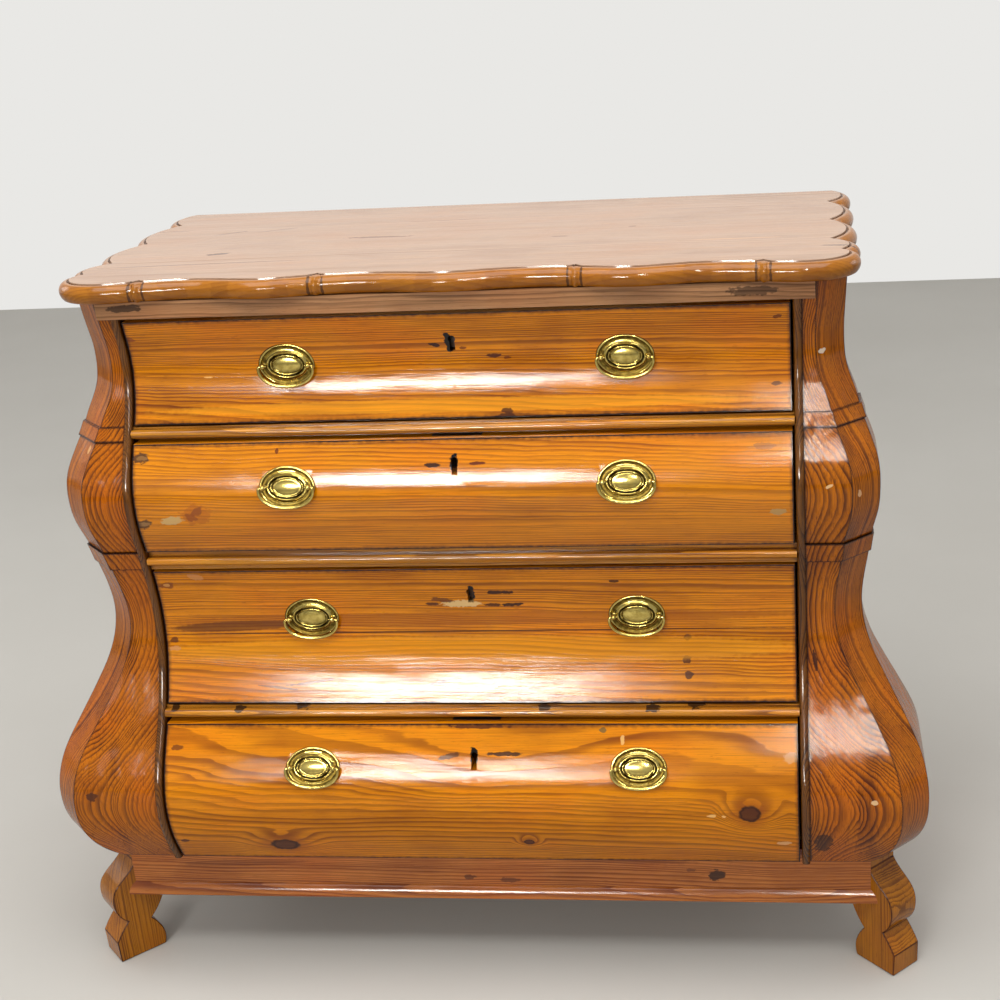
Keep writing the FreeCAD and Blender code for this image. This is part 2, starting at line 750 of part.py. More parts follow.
def bail(drawer):
    """Half-oval swing handle: three tangent arcs, with a pin at each end turned in to its post."""
    arm = post_spacing / 2 + post_ball_radius + bail_arm_clearance + bail_radius
    corner = bail_corner_radius
    side = arm - corner
    low = bail_drop - corner
    rise = (side**2 - low**2) / (2 * low)
    angle = math.atan2(rise, side)

    def on_corner(turn, hand):
        return Vector(hand * (side + corner * math.cos(turn)), 0, -corner * math.sin(turn))

    right = Part.Arc(on_corner(0, 1), on_corner(angle / 2, 1), on_corner(angle, 1))
    bottom = Part.Arc(on_corner(angle, 1), Vector(0, 0, -bail_drop), on_corner(angle, -1))
    left = Part.Arc(on_corner(angle, -1), on_corner(angle / 2, -1), on_corner(0, -1))
    path = Part.Wire([right.toShape(), bottom.toShape(), left.toShape()])
    ring = Part.Wire(Part.makeCircle(bail_radius, on_corner(0, 1), Vector(0, 0, 1)))
    hoop = path.makePipe(Part.Face(ring))
    knuckle = Part.makeSphere(bail_radius, on_corner(0, 1))
    pin_length = arm - post_spacing / 2 + post_ball_radius + pin_end
    pin = Part.makeCylinder(pin_radius, pin_length, on_corner(0, 1), Vector(-1, 0, 0))
    hoop = hoop.fuse([knuckle, pin, mirrored(knuckle), mirrored(pin)])
    hoop.rotate(Vector(0, 0, 0), Vector(1, 0, 0), bail_lean[drawer])
    hoop.translate(Vector(0, -pivot_height, 0))
    return hoop


def drawer_front(drawer):
    """Thick front, shaped outside and flat inside, with its joints, seats, holes and keyhole cut."""
    y_in = inner_face_y(drawer)
    z0 = front_bottoms[drawer]
    z1 = z0 + front_heights[drawer]
    front = front_blank(-front_half, front_half, y_in - face_y, 0.0)
    front = front.common(box(-front_half, front_half, -wide, y_in, z0, z1))
    for tail in dovetails(drawer):
        front = front.cut(tail).cut(mirrored(tail))
    front = front.cut(panel(drawer))
    front = front.cut(lock_case_block(drawer))
    key_z = z1 - keyhole_drops[drawer]
    forward = Vector(0, -wide, 0)
    front = front.cut(Part.makeCylinder(keyhole_radius, wide, Vector(0, y_in, key_z), forward))
    front = front.cut(box(-keyhole_slot_width / 2, keyhole_slot_width / 2, -wide, y_in,
                          key_z - keyhole_slot_length, key_z))
    reach = 60.0
    seat = Part.Face(oval(-seat_margin, 0.0)).extrude(Vector(0, -reach, 0))
    for side in (-1, 1):
        handle = Handle(drawer, side)
        front = front.cut(handle.placed(seat))
        for x in (-post_spacing / 2, post_spacing / 2):
            hole = Part.makeCylinder(post_shank_radius, reach, Vector(x, reach / 2, 0), Vector(0, -1, 0))
            pocket = Part.makeCylinder(nut_pocket_radius, reach, Vector(x, nut_depth, 0), Vector(0, 1, 0))
            front = front.cut(handle.placed(hole)).cut(handle.placed(pocket))
    return front


# ---------------------------------------------------------------- locks
def lock_case_block(drawer):
    z1 = front_bottoms[drawer] + front_heights[drawer]
    y_in = inner_face_y(drawer)
    return box(-lock_width / 2, lock_width / 2, y_in - lock_depth, y_in, z1 - lock_height, z1)


def lock_case(drawer):
    """Iron lock case let flush into the inner face, with a slot through its top for the bolt."""
    slot = bolt_box(drawer, bolt_clearance, bolt_travel).fuse(bolt_box(drawer, bolt_clearance, 0.0))
    return lock_case_block(drawer).cut(slot)


def make_drawer(drawer):
    name = "drawer_%d_" % (drawer + 1)
    save(name + "front", drawer_front(drawer))
    side = drawer_side(drawer)
    save(name + "sides", side, mirrored(side))
    save(name + "back", drawer_back(drawer))
    save(name + "bottom", panel(drawer))
    save(name + "lock_case", lock_case(drawer))
    save(name + "lock_bolt", bolt_box(drawer, 0.0, 0.0))
    plates, posts = [], []
    post, nut = post_and_nut()
    for side_name, side in (("left", -1), ("right", 1)):
        handle = Handle(drawer, side)
        plates.append(handle.placed(backplate()))
        for x in (-post_spacing / 2, post_spacing / 2):
            for piece in (post, nut):
                moved = piece.copy()
                moved.translate(Vector(x, 0, 0))
                posts.append(handle.placed(moved))
        save(name + "bail_" + side_name, handle.placed(bail(drawer)))
    save(name + "backplates", *plates)
    save(name + "handle_posts", *posts)


# ---------------------------------------------------------------- carcase
def back_boards():
    """Horizontal boards nailed between the side panels, with open joints."""
    low = bottom_board_bottom()
    pitch = (carcase_top - low) / back_board_count
    boards = []
    for index in range(back_board_count):
        z0 = low + index * pitch
        z1 = z0 + pitch - (board_joint if index < back_board_count - 1 else 0.0)
        boards.append(box(-side_inner_x, side_inner_x, back_inner_y, back_outer_y, z0, z1))
    return boards


def make_carcase():
    right_stile = stile()
    save("stile_right", right_stile)
    save("stile_left", mirrored(right_stile))
    bead = stile_bead()
    save("stile_beads", bead, mirrored(bead))
    mortised = frieze_rail().cut(bolt_box(0, mortise_margin, bolt_travel))
    save("frieze_rail", mortised)
    rails = range(len(rail_heights))
    save("drawer_rails", *[drawer_rail(index) for index in rails])
    save("rail_beads", *[rail_bead(index) for index in rails])
    panel_right = side_panel()
    save("side_panel_right", panel_right)
    save("side_panel_left", mirrored(panel_right))
    save("back_boards", *back_boards())
    save("bottom_board", bottom_board())
    runners, guides = runners_and_guides()
    save("drawer_runners", *runners)
    save("drawer_guides", *guides)
    save("kickers", *kickers())


def make_base():
    save("plinth_front", front_plinth())
    right_plinth = side_plinth()
    save("plinth_sides", right_plinth, mirrored(right_plinth))
    foot = front_foot()
    save("front_feet", foot, mirrored(foot))
    rear = back_foot()
    save("back_feet", rear, mirrored(rear))
    save("glue_blocks", *glue_blocks())


os.makedirs("parts", exist_ok=True)
make_top()
make_carcase()
make_base()
for number in range(drawer_count):
    make_drawer(number)
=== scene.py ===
import json
import math

import bpy
from mathutils import Matrix, Vector


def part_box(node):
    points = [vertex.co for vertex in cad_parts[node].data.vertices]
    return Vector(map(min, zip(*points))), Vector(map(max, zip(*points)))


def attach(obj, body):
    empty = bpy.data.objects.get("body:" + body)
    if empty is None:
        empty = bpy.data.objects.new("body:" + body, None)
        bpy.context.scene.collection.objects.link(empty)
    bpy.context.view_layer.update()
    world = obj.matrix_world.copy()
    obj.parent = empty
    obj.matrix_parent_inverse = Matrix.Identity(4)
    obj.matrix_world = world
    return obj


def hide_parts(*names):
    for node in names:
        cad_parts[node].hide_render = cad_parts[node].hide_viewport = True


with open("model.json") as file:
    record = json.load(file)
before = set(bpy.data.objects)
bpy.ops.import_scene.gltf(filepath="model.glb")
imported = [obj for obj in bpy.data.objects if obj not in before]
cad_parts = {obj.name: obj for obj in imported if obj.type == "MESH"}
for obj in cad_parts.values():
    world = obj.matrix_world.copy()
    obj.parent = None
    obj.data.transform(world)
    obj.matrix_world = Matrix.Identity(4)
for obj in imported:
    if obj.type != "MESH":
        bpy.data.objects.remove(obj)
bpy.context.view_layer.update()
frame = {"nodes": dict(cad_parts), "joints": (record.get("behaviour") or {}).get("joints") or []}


# ---------------------------------------------------------------- camera
# A standing eye's height, a little to the right of the chest's middle, looking down on the top.
camera_place = Vector((0.401, -1.8997, 1.272))
turned_left, tipped_down, leaning = 7.03, 20.56, -3.43
lens_to_sensor = 1.567
bpy.ops.object.camera_add(location=camera_place)
camera = bpy.context.object
camera.matrix_world = (Matrix.Translation(camera_place)
                       @ Matrix.Rotation(math.radians(turned_left), 4, "Z")
                       @ Matrix.Rotation(math.radians(90.0 - tipped_down), 4, "X")
                       @ Matrix.Rotation(math.radians(leaning), 4, "Z"))
camera.data.lens = lens_to_sensor * camera.data.sensor_width
camera.data.shift_x = -0.12
bpy.context.scene.camera = camera
bpy.context.scene.view_settings.view_transform = "Standard"


# ---------------------------------------------------------------- studio
# A plain pale cement floor, a whitewashed wall behind and a white room all round. Soft lamps: a
# wide window in front, a skylight above, and a weaker fill on each side so that none goes flat.
def to_linear(colour):
    """sRGB hex, such as "b86a10", to linear RGBA."""
    parts = [int(colour[i:i + 2], 16) / 255 for i in (0, 2, 4)]
    return [p / 12.92 if p <= 0.04045 else ((p + 0.055) / 1.055) ** 2.4 for p in parts] + [1.0]


def add_node(tree, kind, inputs, out=0, **settings):
    """Adds one shader node with its settings, sets or links its inputs, and gives one output."""
    node = tree.nodes.new(kind)
    for name, value in settings.items():
        setattr(node, name, value)
    for place, value in inputs.items():
        if isinstance(value, bpy.types.NodeSocket):
            tree.links.new(value, node.inputs[place])
        else:
            node.inputs[place].default_value = value
    return node.outputs[out]


def new_material(name):
    """An empty material and its node tree."""
    made = bpy.data.materials.new(name)
    made.use_nodes = True
    made.node_tree.nodes.clear()
    return made, made.node_tree


def show(tree, surface):
    """Sends a shader to the material's output."""
    tree.links.new(surface, tree.nodes.new("ShaderNodeOutputMaterial").inputs["Surface"])


def mix_colours(tree, share, first, second, blend="MIX"):
    """Two colours mixed by share; blend names how."""
    return add_node(tree, "ShaderNodeMix", {0: share, 6: first, 7: second}, out=2,
                    data_type="RGBA", blend_type=blend)


def seen_directly(tree):
    """1 where the camera, a gloss or a glass sees the surface, 0 where it only lights others."""
    rays = tree.nodes.new("ShaderNodeLightPath").outputs
    seen = add_node(tree, "ShaderNodeMath",
                    {0: rays["Is Camera Ray"], 1: rays["Is Glossy Ray"]}, operation="ADD")
    return add_node(tree, "ShaderNodeMath", {0: seen, 1: rays["Is Transmission Ray"]},
                    operation="ADD", use_clamp=True)


# trowelled cement: pale and matt, with faint stains not quite a metre across
floor_material, tree = new_material("cement_floor")
object_place = add_node(tree, "ShaderNodeTexCoord", {}, out=3)
stains = add_node(tree, "ShaderNodeTexNoise",
                  {"Vector": object_place, "Scale": 1.3, "Detail": 5.0})
tone = mix_colours(tree, stains, to_linear("b9b5ad"), to_linear("cbc8c1"))
tone = mix_colours(tree, seen_directly(tree), to_linear("807b74"), tone)
show(tree, add_node(tree, "ShaderNodeBsdfPrincipled", {"Base Color": tone, "Roughness": 0.7}))

bpy.ops.object.select_all(action="DESELECT")
bpy.ops.mesh.primitive_circle_add(vertices=96, radius=16.0, fill_type="NGON",
                                  location=(0.0, 0.0, -0.0004))
floor = bpy.context.object
floor.name = "studio_floor"
floor.data.materials.append(floor_material)

# limewash: plain white, and bright where it is looked at
wall_material, tree = new_material("whitewashed_wall")
limewash = add_node(tree, "ShaderNodeBsdfPrincipled",
                    {"Base Color": to_linear("f2f1ee"), "Roughness": 0.9})
lit = add_node(tree, "ShaderNodeEmission", {"Color": to_linear("f4f3f0"), "Strength": 0.9})
show(tree, add_node(tree, "ShaderNodeMixShader", {0: seen_directly(tree), 1: limewash, 2: lit}))
bpy.ops.mesh.primitive_plane_add(size=1.0, location=(0.0, 3.6, 4.9),
                                 rotation=(math.radians(90), 0.0, 0.0))
wall = bpy.context.object
wall.name = "studio_wall"
wall.scale = (24.0, 10.0, 1.0)
wall.data.materials.append(wall_material)

world = bpy.data.worlds.new("pale_room")
bpy.context.scene.world = world
world.use_nodes = True
tree = world.node_tree
strength = add_node(tree, "ShaderNodeMapRange",
                    {"Value": seen_directly(tree), "To Min": 0.36, "To Max": 0.62})
tree.links.new(strength, tree.nodes["Background"].inputs["Strength"])
tree.nodes["Background"].inputs["Color"].default_value = to_linear("ffffff")

# name, place, width, height, watts; the panes are only for the shine on wax and brass
lamps = [("bright_pane", (-1.02, -4.15, 1.85), 0.95, 0.42, 74.0),
         ("narrow_pane", (0.62, -4.15, 3.4), 0.14, 1.2, 70.0),
         ("window", (-0.98, -4.2, 1.85), 1.3, 0.62, 66.0),
         ("skylight", (0.0, -0.9, 3.4), 3.4, 2.4, 106.0),
         ("left_fill", (-4.2, 1.4, 2.4), 1.6, 1.6, 22.0),
         ("right_fill", (4.4, 1.8, 2.2), 1.6, 1.6, 22.0)]
chest_middle = Vector((0.0, 0.0, 0.45))
for name, place, width, height, watts in lamps:
    bpy.ops.object.light_add(type="AREA", location=place)
    lamp = bpy.context.object
    lamp.name = name
    lamp.data.shape = "RECTANGLE"
    lamp.data.size, lamp.data.size_y = width, height
    lamp.data.energy = watts
    lamp.rotation_mode = "QUATERNION"
    lamp.rotation_quaternion = (Vector(place) - chest_middle).to_track_quat("Z", "Y")
    lamp.visible_camera = False
    if "pane" in name:
        lamp.visible_diffuse = False
        lamp.data.color = (1.0, 0.93, 0.82)


# ---------------------------------------------------------------- stiles
# Thick corner blocks of pine with the grain upright, carved to the bombe curve, with two ring
# bands. Dark lines are drawn where their faces turn: dirt and old stain along the arrises, and
# painted shade in the creases beside the ring bands.
same_point = 0.00002            # metres; points closer than this are one


def planed_shading(piece, angle):
    """Smooth shading with sharp arrises, in which a broad planed face outweighs the narrow ones
    beside it."""
    bpy.ops.object.shade_smooth_by_angle(angle=math.radians(angle))
    piece.modifiers.new("planed", "WEIGHTED_NORMAL").keep_sharp = True
    bpy.ops.object.modifier_apply(modifier="planed")


def worn_copy(node, name, radius, woods, chosen=None, sharp=32.0):
    """A merged copy of a CAD node. Where radius isn't 0, its sharp edges are rounded and take the
    last of its woods; chosen(middle) picks the edges."""
    piece = bpy.data.objects.new(name, frame["nodes"][node].data.copy())
    bpy.context.scene.collection.objects.link(piece)
    piece.data.materials.clear()
    for wood in woods:
        piece.data.materials.append(wood)
    bpy.ops.object.select_all(action="DESELECT")
    piece.select_set(True)
    bpy.context.view_layer.objects.active = piece
    bpy.ops.mesh.customdata_custom_splitnormals_clear()
    bpy.ops.object.mode_set(mode="EDIT")
    bpy.ops.mesh.select_all(action="SELECT")
    bpy.ops.mesh.remove_doubles(threshold=same_point)
    bpy.ops.mesh.dissolve_limited(angle_limit=math.radians(0.4))
    bpy.ops.mesh.select_all(action="DESELECT")
    bpy.ops.mesh.select_mode(type="EDGE")
    bpy.ops.mesh.edges_select_sharp(sharpness=math.radians(sharp))
    bpy.ops.object.mode_set(mode="OBJECT")
    if radius:
        points = piece.data.vertices
        for edge in piece.data.edges:
            middle = (points[edge.vertices[0]].co + points[edge.vertices[1]].co) / 2
            edge.select = edge.select and (chosen is None or chosen(middle))
        bpy.ops.object.mode_set(mode="EDIT")
        bpy.ops.mesh.bevel(offset=radius, segments=3, profile=0.5, affect="EDGES",
                           clamp_overlap=True, material=len(woods) - 1)
        bpy.ops.object.mode_set(mode="OBJECT")
    planed_shading(piece, sharp)
    return piece


def waxed_pine(name, grain, pith, ring, early, late, contrast=0.85, taper=0.012, swing=12.0,
               hand=(90.0, 28.0, 28.0), knots=(), marks=(), edges=None, below=None, lines=(),
               face="xz", dirt_and_shade=0.8, alone=True, arris=0.0, gloss=0.6, wax_rough=0.12):
    """Old pine, planed by hand, stained and wax polished. Everything here is in millimetres.

    It gives the eye honey-coloured wood between thin dark rings, streaks and pores along the grain,
    clouds of old stain, dirt and painted shade in the corners, and a soft uneven shine from the wax.
    Fibres and pores are drawn some ten times as coarse as they are, so that they show.

    grain: the axes along the grain, across it and into the wood; pith: the log's heart, across
    and into the wood; ring: width of a year's growth; early and late: colours of its two woods;
    taper and swing: how the log narrows and bends; hand: the size of the plane's waves.
    knots: a place on the face, half width, half height; marks: the same, and lean, colour and
    strength; edges: the face's box, and how far a worn rim reaches in, its colour and strength,
    with a thin black band of painted shade at its very edge for the gap; below: levels between
    which a tint comes in; lines: levels of dark lines; arris: how dark the turns of the faces
    are, as dirt on ridges and painted shade in creases; alone: the dirt and painted shade of
    the corners gather in the piece's own corners, not against others.
    """
    made, tree = new_material(name)

    def calc(operation, first, second=0.0, third=0.0):
        return add_node(tree, "ShaderNodeMath", {0: first, 1: second, 2: third},
                        operation=operation)

    def ramp(value, low, high, start=0.0, end=1.0):
        return add_node(tree, "ShaderNodeMapRange",
                        {"Value": value, "From Min": low, "From Max": high, "To Min": start,
                         "To Max": end}, interpolation_type="SMOOTHSTEP")

    def noise(vector, detail=2.0, out=0):
        return add_node(tree, "ShaderNodeTexNoise",
                        {"Vector": vector, "Scale": 1.0, "Detail": detail}, out=out)

    def change(operation, vector, amount):
        place = "Scale" if operation == "SCALE" else 1
        return add_node(tree, "ShaderNodeVectorMath", {0: vector, place: amount},
                        operation=operation)

    def stretched(vector, along, across, deep):
        return change("MULTIPLY", vector, (1 / along, 1 / across, 1 / deep))

    def length(vector):
        return add_node(tree, "ShaderNodeVectorMath", {0: vector}, out=1, operation="LENGTH")

    def stain(share, tint, blend="MIX"):
        """The colour so far, with a tint over it."""
        return mix_colours(tree, share, colour, to_linear(tint), blend)

    object_mm = change("SCALE", add_node(tree, "ShaderNodeTexCoord", {}, out=3), 1000.0)
    apart = tree.nodes.new("ShaderNodeSeparateXYZ")
    tree.links.new(object_mm, apart.inputs[0])
    axis = dict(zip("xyz", apart.outputs))
    wood = add_node(tree, "ShaderNodeCombineXYZ", {i: axis[a] for i, a in enumerate(grain)})
    face_mm = add_node(tree, "ShaderNodeCombineXYZ", {i: axis[a] for i, a in enumerate(face)})
    ragged = noise(stretched(object_mm, 7.0, 7.0, 5.0), detail=4.0)

    def from_middle(across, up, half_width, half_height, lean=0.0):
        """Distance from an oval's middle, 1 at its edge."""
        return length(add_node(tree, "ShaderNodeMapping", {
            "Vector": face_mm, "Location": (across, up, 0.0),
            "Rotation": (0.0, 0.0, math.radians(lean)),
            "Scale": (half_width, half_height, 1.0)}, vector_type="TEXTURE"))

    def roughened(distance, reach):
        """A distance whose edge wanders by half of reach either way."""
        return calc("ADD", distance, calc("MULTIPLY_ADD", ragged, reach, -0.5 * reach))

    # the years' rings: distance from the pith, bent by slow and quick wandering, and round knots
    bent = wood
    for size, amount, detail in (((420.0, 95.0, 95.0), 2.0 * swing, 1.0),
                                 ((70.0, 14.0, 14.0), 3.0, 2.0)):
        sway = change("SUBTRACT", noise(stretched(wood, *size), detail, out=1), (0.5, 0.5, 0.5))
        bent = change("ADD", bent, change("SCALE", sway, amount))
    bent = change("SUBTRACT", bent, (0.0, pith[0], pith[1]))
    reach = length(change("MULTIPLY", bent, (0.0, 1.0, 1.0)))
    reach = calc("MULTIPLY_ADD", axis[grain[0]], taper, reach)
    knot_shades = []
    for knot in knots:
        away = from_middle(*knot)
        reach = calc("ADD", reach, ramp(away, 4.2, 0.7, 0.0, 3.2 * ring))
        knot_shades.append(roughened(away, 0.5))
    uneven = add_node(tree, "ShaderNodeTexNoise",
                      {"W": calc("DIVIDE", reach, 7.0 * ring), "Scale": 1.0},
                      noise_dimensions="1D")
    reach = calc("MULTIPLY_ADD", uneven, 5.0 * ring, reach)
    year = calc("FRACT", calc("DIVIDE", reach, ring))
    late_wood = calc("MULTIPLY", ramp(year, 0.30, 0.88), ramp(year, 1.0, 0.94))

    # fibres, dark streaks and pores along the grain, broad stripes, and clouds of old stain
    fibre = noise(stretched(wood, 38.0, 0.9, 0.9))
    streak = noise(stretched(wood, 150.0, 2.4, 2.4), detail=3.0)
    pores = noise(stretched(wood, 12.0, 0.8, 0.8), detail=1.0)
    stripe = noise(stretched(wood, 520.0, 26.0, 26.0), detail=3.0)
    cloud = noise(stretched(wood, 150.0, 80.0, 80.0), detail=3.0)

    uneven_rings = calc("MULTIPLY", ramp(stripe, 0.25, 0.75, 0.45, 1.0), contrast)
    colour = mix_colours(tree, calc("MULTIPLY", late_wood, uneven_rings), to_linear(early),
                         to_linear(late))
    for spread, low, high, strength in ((fibre, 0.40, 0.75, 0.35), (streak, 0.52, 0.72, 0.5),
                                        (stripe, 0.48, 0.80, 0.45), (pores, 0.66, 0.74, 0.5)):
        colour = stain(ramp(spread, low, high, 0.0, strength * contrast), late)
    colour = stain(ramp(cloud, 0.40, 0.70, 0.0, 0.30 * contrast), "ffb450", "MULTIPLY")
    colour = stain(ramp(cloud, 0.50, 0.32, 0.0, 0.35 * contrast), "b07a50", "MULTIPLY")
    if below:
        high, low, tint = below
        colour = stain(ramp(axis["z"], high, low), tint, "MULTIPLY")

    for away in knot_shades:
        colour = stain(ramp(away, 2.6, 1.0, 0.0, 0.5), "8a3c08")
        colour = stain(ramp(away, 1.15, 0.85, 0.0, 0.9), "4a2210")
        bark = calc("MULTIPLY", ramp(away, 0.7, 0.95), ramp(away, 1.25, 1.0))
        colour = stain(calc("MULTIPLY", bark, 0.8), "241008")

    for across, up, half_width, half_height, lean, tint, strength in marks:
        away = from_middle(across, up, half_width, half_height, lean)
        away = roughened(away, 1.6 if half_width < 60 else 0.3)
        colour = stain(ramp(away, 1.05, 0.8, 0.0, strength), tint)

    for level in lines:
        away = calc("ABSOLUTE", calc("SUBTRACT", axis["z"], level))
        colour = stain(ramp(away, 1.3, 0.4, 0.0, 0.85), "241006")

    # a brown rim worn into the face by hands, and at its very edge a thin black band of painted
    # shade for the gap round the front, on what looks forward only
    if edges:
        left, right, low, high, reach_in, tint, strength = edges
        near = calc("MINIMUM", calc("MINIMUM", calc("SUBTRACT", axis["x"], left),
                                    calc("SUBTRACT", right, axis["x"])),
                    calc("MINIMUM", calc("SUBTRACT", axis["z"], low),
                         calc("SUBTRACT", high, axis["z"])))
        facing = tree.nodes.new("ShaderNodeSeparateXYZ")
        tree.links.new(add_node(tree, "ShaderNodeTexCoord", {}, out=1), facing.inputs[0])
        forward = ramp(facing.outputs["Y"], -0.2, -0.55)
        worn_in = ramp(roughened(near, reach_in), reach_in, 0.0, 0.0, strength)
        colour = stain(calc("MULTIPLY", forward, worn_in), tint)
        painted_gap_shade = ramp(roughened(near, 1.6), 1.9, 0.9, 0.0, 0.92)
        colour = stain(calc("MULTIPLY", forward, painted_gap_shade), "120804")

    # darker within 7 mm in grooves and corners: wax and dirt gathered there, and painted shade;
    # with alone off, also painted shade against the parts beside
    open_sky = add_node(tree, "ShaderNodeAmbientOcclusion", {"Distance": 0.007}, out=1,
                        samples=4, only_local=alone)
    colour = stain(ramp(open_sky, 0.86, 0.45, 0.0, dirt_and_shade), "2c1206")

    # dark lines where the faces turn within 3.4 mm: dirt on the ridges, painted shade in the creases
    if arris:
        rounded = add_node(tree, "ShaderNodeBevel", {"Radius": 0.0034}, samples=6)
        plain = add_node(tree, "ShaderNodeNewGeometry", {}, out=1)
        turned = add_node(tree, "ShaderNodeVectorMath", {0: rounded, 1: plain}, out=1,
                          operation="DOT_PRODUCT")
        colour = stain(ramp(roughened(turned, 0.006), 0.994, 0.975, 0.0, arris), "1c0c04")

    waves = noise(stretched(wood, *hand), detail=1.0)
    height = calc("MULTIPLY_ADD", late_wood, 0.03, calc("MULTIPLY", fibre, 0.14))
    height = calc("MULTIPLY_ADD", waves, 1.3, height)
    bump = add_node(tree, "ShaderNodeBump",
                    {"Height": height, "Distance": 0.0007, "Strength": 0.8})
    show(tree, add_node(tree, "ShaderNodeBsdfPrincipled", {
        "Base Color": colour, "Roughness": ramp(fibre, 0.3, 0.8, 0.42, 0.58), "Normal": bump,
        "IOR": 1.5, "Specular IOR Level": 0.0, "Coat Weight": gloss,
        "Coat Roughness": wax_rough, "Coat IOR": 1.42, "Coat Normal": bump}))
    return made


# marks on both faces of each stile: across, up, half width, half height, lean, colour, strength
stile_marks = {
    "left": [(-490, 268, 7, 6, 0, "4a220a", 0.9), (-452, 700, 5, 2, 60, "e0a860", 0.7)],
    "right": [(415, 418, 3, 13, 8, "3a1a0a", 0.9), (482, 266, 4, 3, 0, "e8c088", 0.8),
              (433, 646, 5, 2, 30, "e8c088", 0.8), (468, 634, 2, 5, 0, "e8b880", 0.7),
              (421, 206, 12, 16, 0, "2c1408", 0.75), (428, 788, 4, 3, 0, "f0dcc0", 0.8)]}
for side, outward in (("left", -1), ("right", 1)):
    # darker and redder than the fronts, with close rings, and the shiniest wax; painted shade in
    # its creases and against the beads
    pine = waxed_pine("waxed_pine_stile_" + side, "zxy", (outward * 610.0, 60.0), 2.9, "be6a04",
                      "4c2002", contrast=1.0, swing=9.0, hand=(60.0, 16.0, 16.0),
                      marks=stile_marks[side], alone=False, arris=0.92, gloss=0.7,
                      wax_rough=0.085)
    stile = worn_copy("stile_" + side, "carved_stile_" + side, 0.0, (pine,), sharp=25.0)
    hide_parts("stile_" + side)
    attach(stile, "carcase")


# ---------------------------------------------------------------- beads
# Half-round strips of pine down both sides of the drawers and along the rails, planed and pinned
# on, and the frieze rail under the top. The upright strips are stained nearly black.
def dress(nodes, material):
    """Gives CAD nodes one material in place of their plain one."""
    for node in nodes:
        frame["nodes"][node].data.materials.clear()
        frame["nodes"][node].data.materials.append(material)


nail_marks = [(-383, 369, 6, 3, 0, "2c1808", 0.9), (-299, 368, 7, 3, 0, "2c1808", 0.9),
              (-219, 370, 10, 3, 0, "2c1808", 0.9), (85, 369, 8, 3, 0, "2c1808", 0.9),
              (218, 368, 9, 3, 0, "2c1808", 0.9), (272, 370, 11, 3, 0, "2c1808", 0.9)]
frieze_knots = [(-385, 868, 22, 5, 0, "2a180c", 0.8), (352, 866, 30, 6, 0, "2a180c", 0.7)]
# brown waxed strips: a bright line of shine along each, black where nails have rusted, and
# painted shade where they meet the parts beside
bead_pine = waxed_pine("dark_pine_beads", "xyz", (-60.0, 300.0), 3.0, "d08c24", "5e2c04",
                       marks=nail_marks, alone=False, gloss=0.95, wax_rough=0.10)
# nearly black strips: they draw the line between the stiles and the drawers, with painted
# shade where they meet the parts beside
dark_pine = waxed_pine("old_dark_beads", "zxy", (-200.0, 200.0), 2.6, "74460e", "2a1404",
                       alone=False, gloss=0.9, wax_rough=0.10)
# greyer, paler old pine: dulled by dust under the moulding, and paled further by a painted sheen
frieze_pine = waxed_pine("brown_frieze", "xzy", (500.0, 300.0), 3.4, "b28258", "5a3a20",
                         marks=frieze_knots, gloss=0.9, wax_rough=0.18)
dress(("stile_beads",), dark_pine)
dress(("rail_beads", "drawer_rails"), bead_pine)
dress(("frieze_rail",), frieze_pine)


# ---------------------------------------------------------------- side panels, back and inside
# Side boards with upright grain, waxed outside, let into the stiles. The back boards, nailed on,
# and the runners, the bottom and the back feet are raw pine straight from the plane.
# waxed sides: plain and a little redder than the fronts
side_pine = waxed_pine("waxed_pine_sides", "zyx", (-300.0, 200.0), 4.2, "b86e1c", "6c3808",
                       contrast=0.8)
# raw pine: pale, dry and matt, yellowed by age
raw_pine = waxed_pine("raw_pine", "xzy", (300.0, 120.0), 4.0, "c09560", "8a5c30", contrast=0.6,
                      gloss=0.0)
dress(("side_panel_left", "side_panel_right"), side_pine)
back_low, back_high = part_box("back_boards")
back_height = back_high.z - back_low.z
back_seams = [1000 * (back_low.z + index * back_height / 4) for index in (1, 2, 3)]
back_nails = [(x, 1000 * back_low.z + share * 1000 * back_height, 3.2, 3.2, 0, "241d16", 0.95)
              for x in (-424, 424) for share in (0.06, 0.19, 0.31, 0.44, 0.56, 0.69, 0.81, 0.94)]
# raw pine darkened by dust, with rusty nail heads, knots and black joints
nailed_pine = waxed_pine("nailed_back_pine", "xzy", (300.0, 120.0), 4.4, "a97c4a", "6a4522",
                         contrast=0.7, marks=back_nails, lines=back_seams, gloss=0.0,
                         knots=[(180, 330, 14, 10), (-260, 640, 11, 9), (60, 790, 9, 7)])
dress(("back_boards",), nailed_pine)
dress(("bottom_board", "drawer_runners", "drawer_guides", "kickers", "glue_blocks", "back_feet"),
      raw_pine)


# ---------------------------------------------------------------- plinth and front feet
# A pine plinth with a round lower moulding, glued between two thick feet that are sawn to a
# scroll and rasped round. Stained redder than the rest.
plinth_marks = [(288, 128, 12, 8, 20, "2a1208", 0.9), (256, 136, 6, 3, 0, "6a3a20", 0.7),
                (-30, 122, 9, 4, 0, "4a2010", 0.7), (20, 118, 14, 4, 0, "4a2010", 0.6),
                (-90, 156, 150, 7, 1, "5a2814", 0.5), (150, 151, 120, 6, -2, "5a2814", 0.45),
                (-330, 140, 90, 5, 2, "5a2814", 0.35)]
plinth_top = 1000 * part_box("plinth_front")[1].z
# red-brown wood in broad dark streaks, polished by feet, and darker along its upper edge with
# painted shade under the bottom drawer
plinth_pine = waxed_pine("red_pine_plinth", "xzy", (-80.0, -60.0), 3.4, "c87a34", "702e0a",
                         marks=plinth_marks, below=(plinth_top - 18, plinth_top - 3, "a87048"),
                         gloss=0.95, wax_rough=0.13)
dress(("plinth_front", "plinth_sides"), plinth_pine)
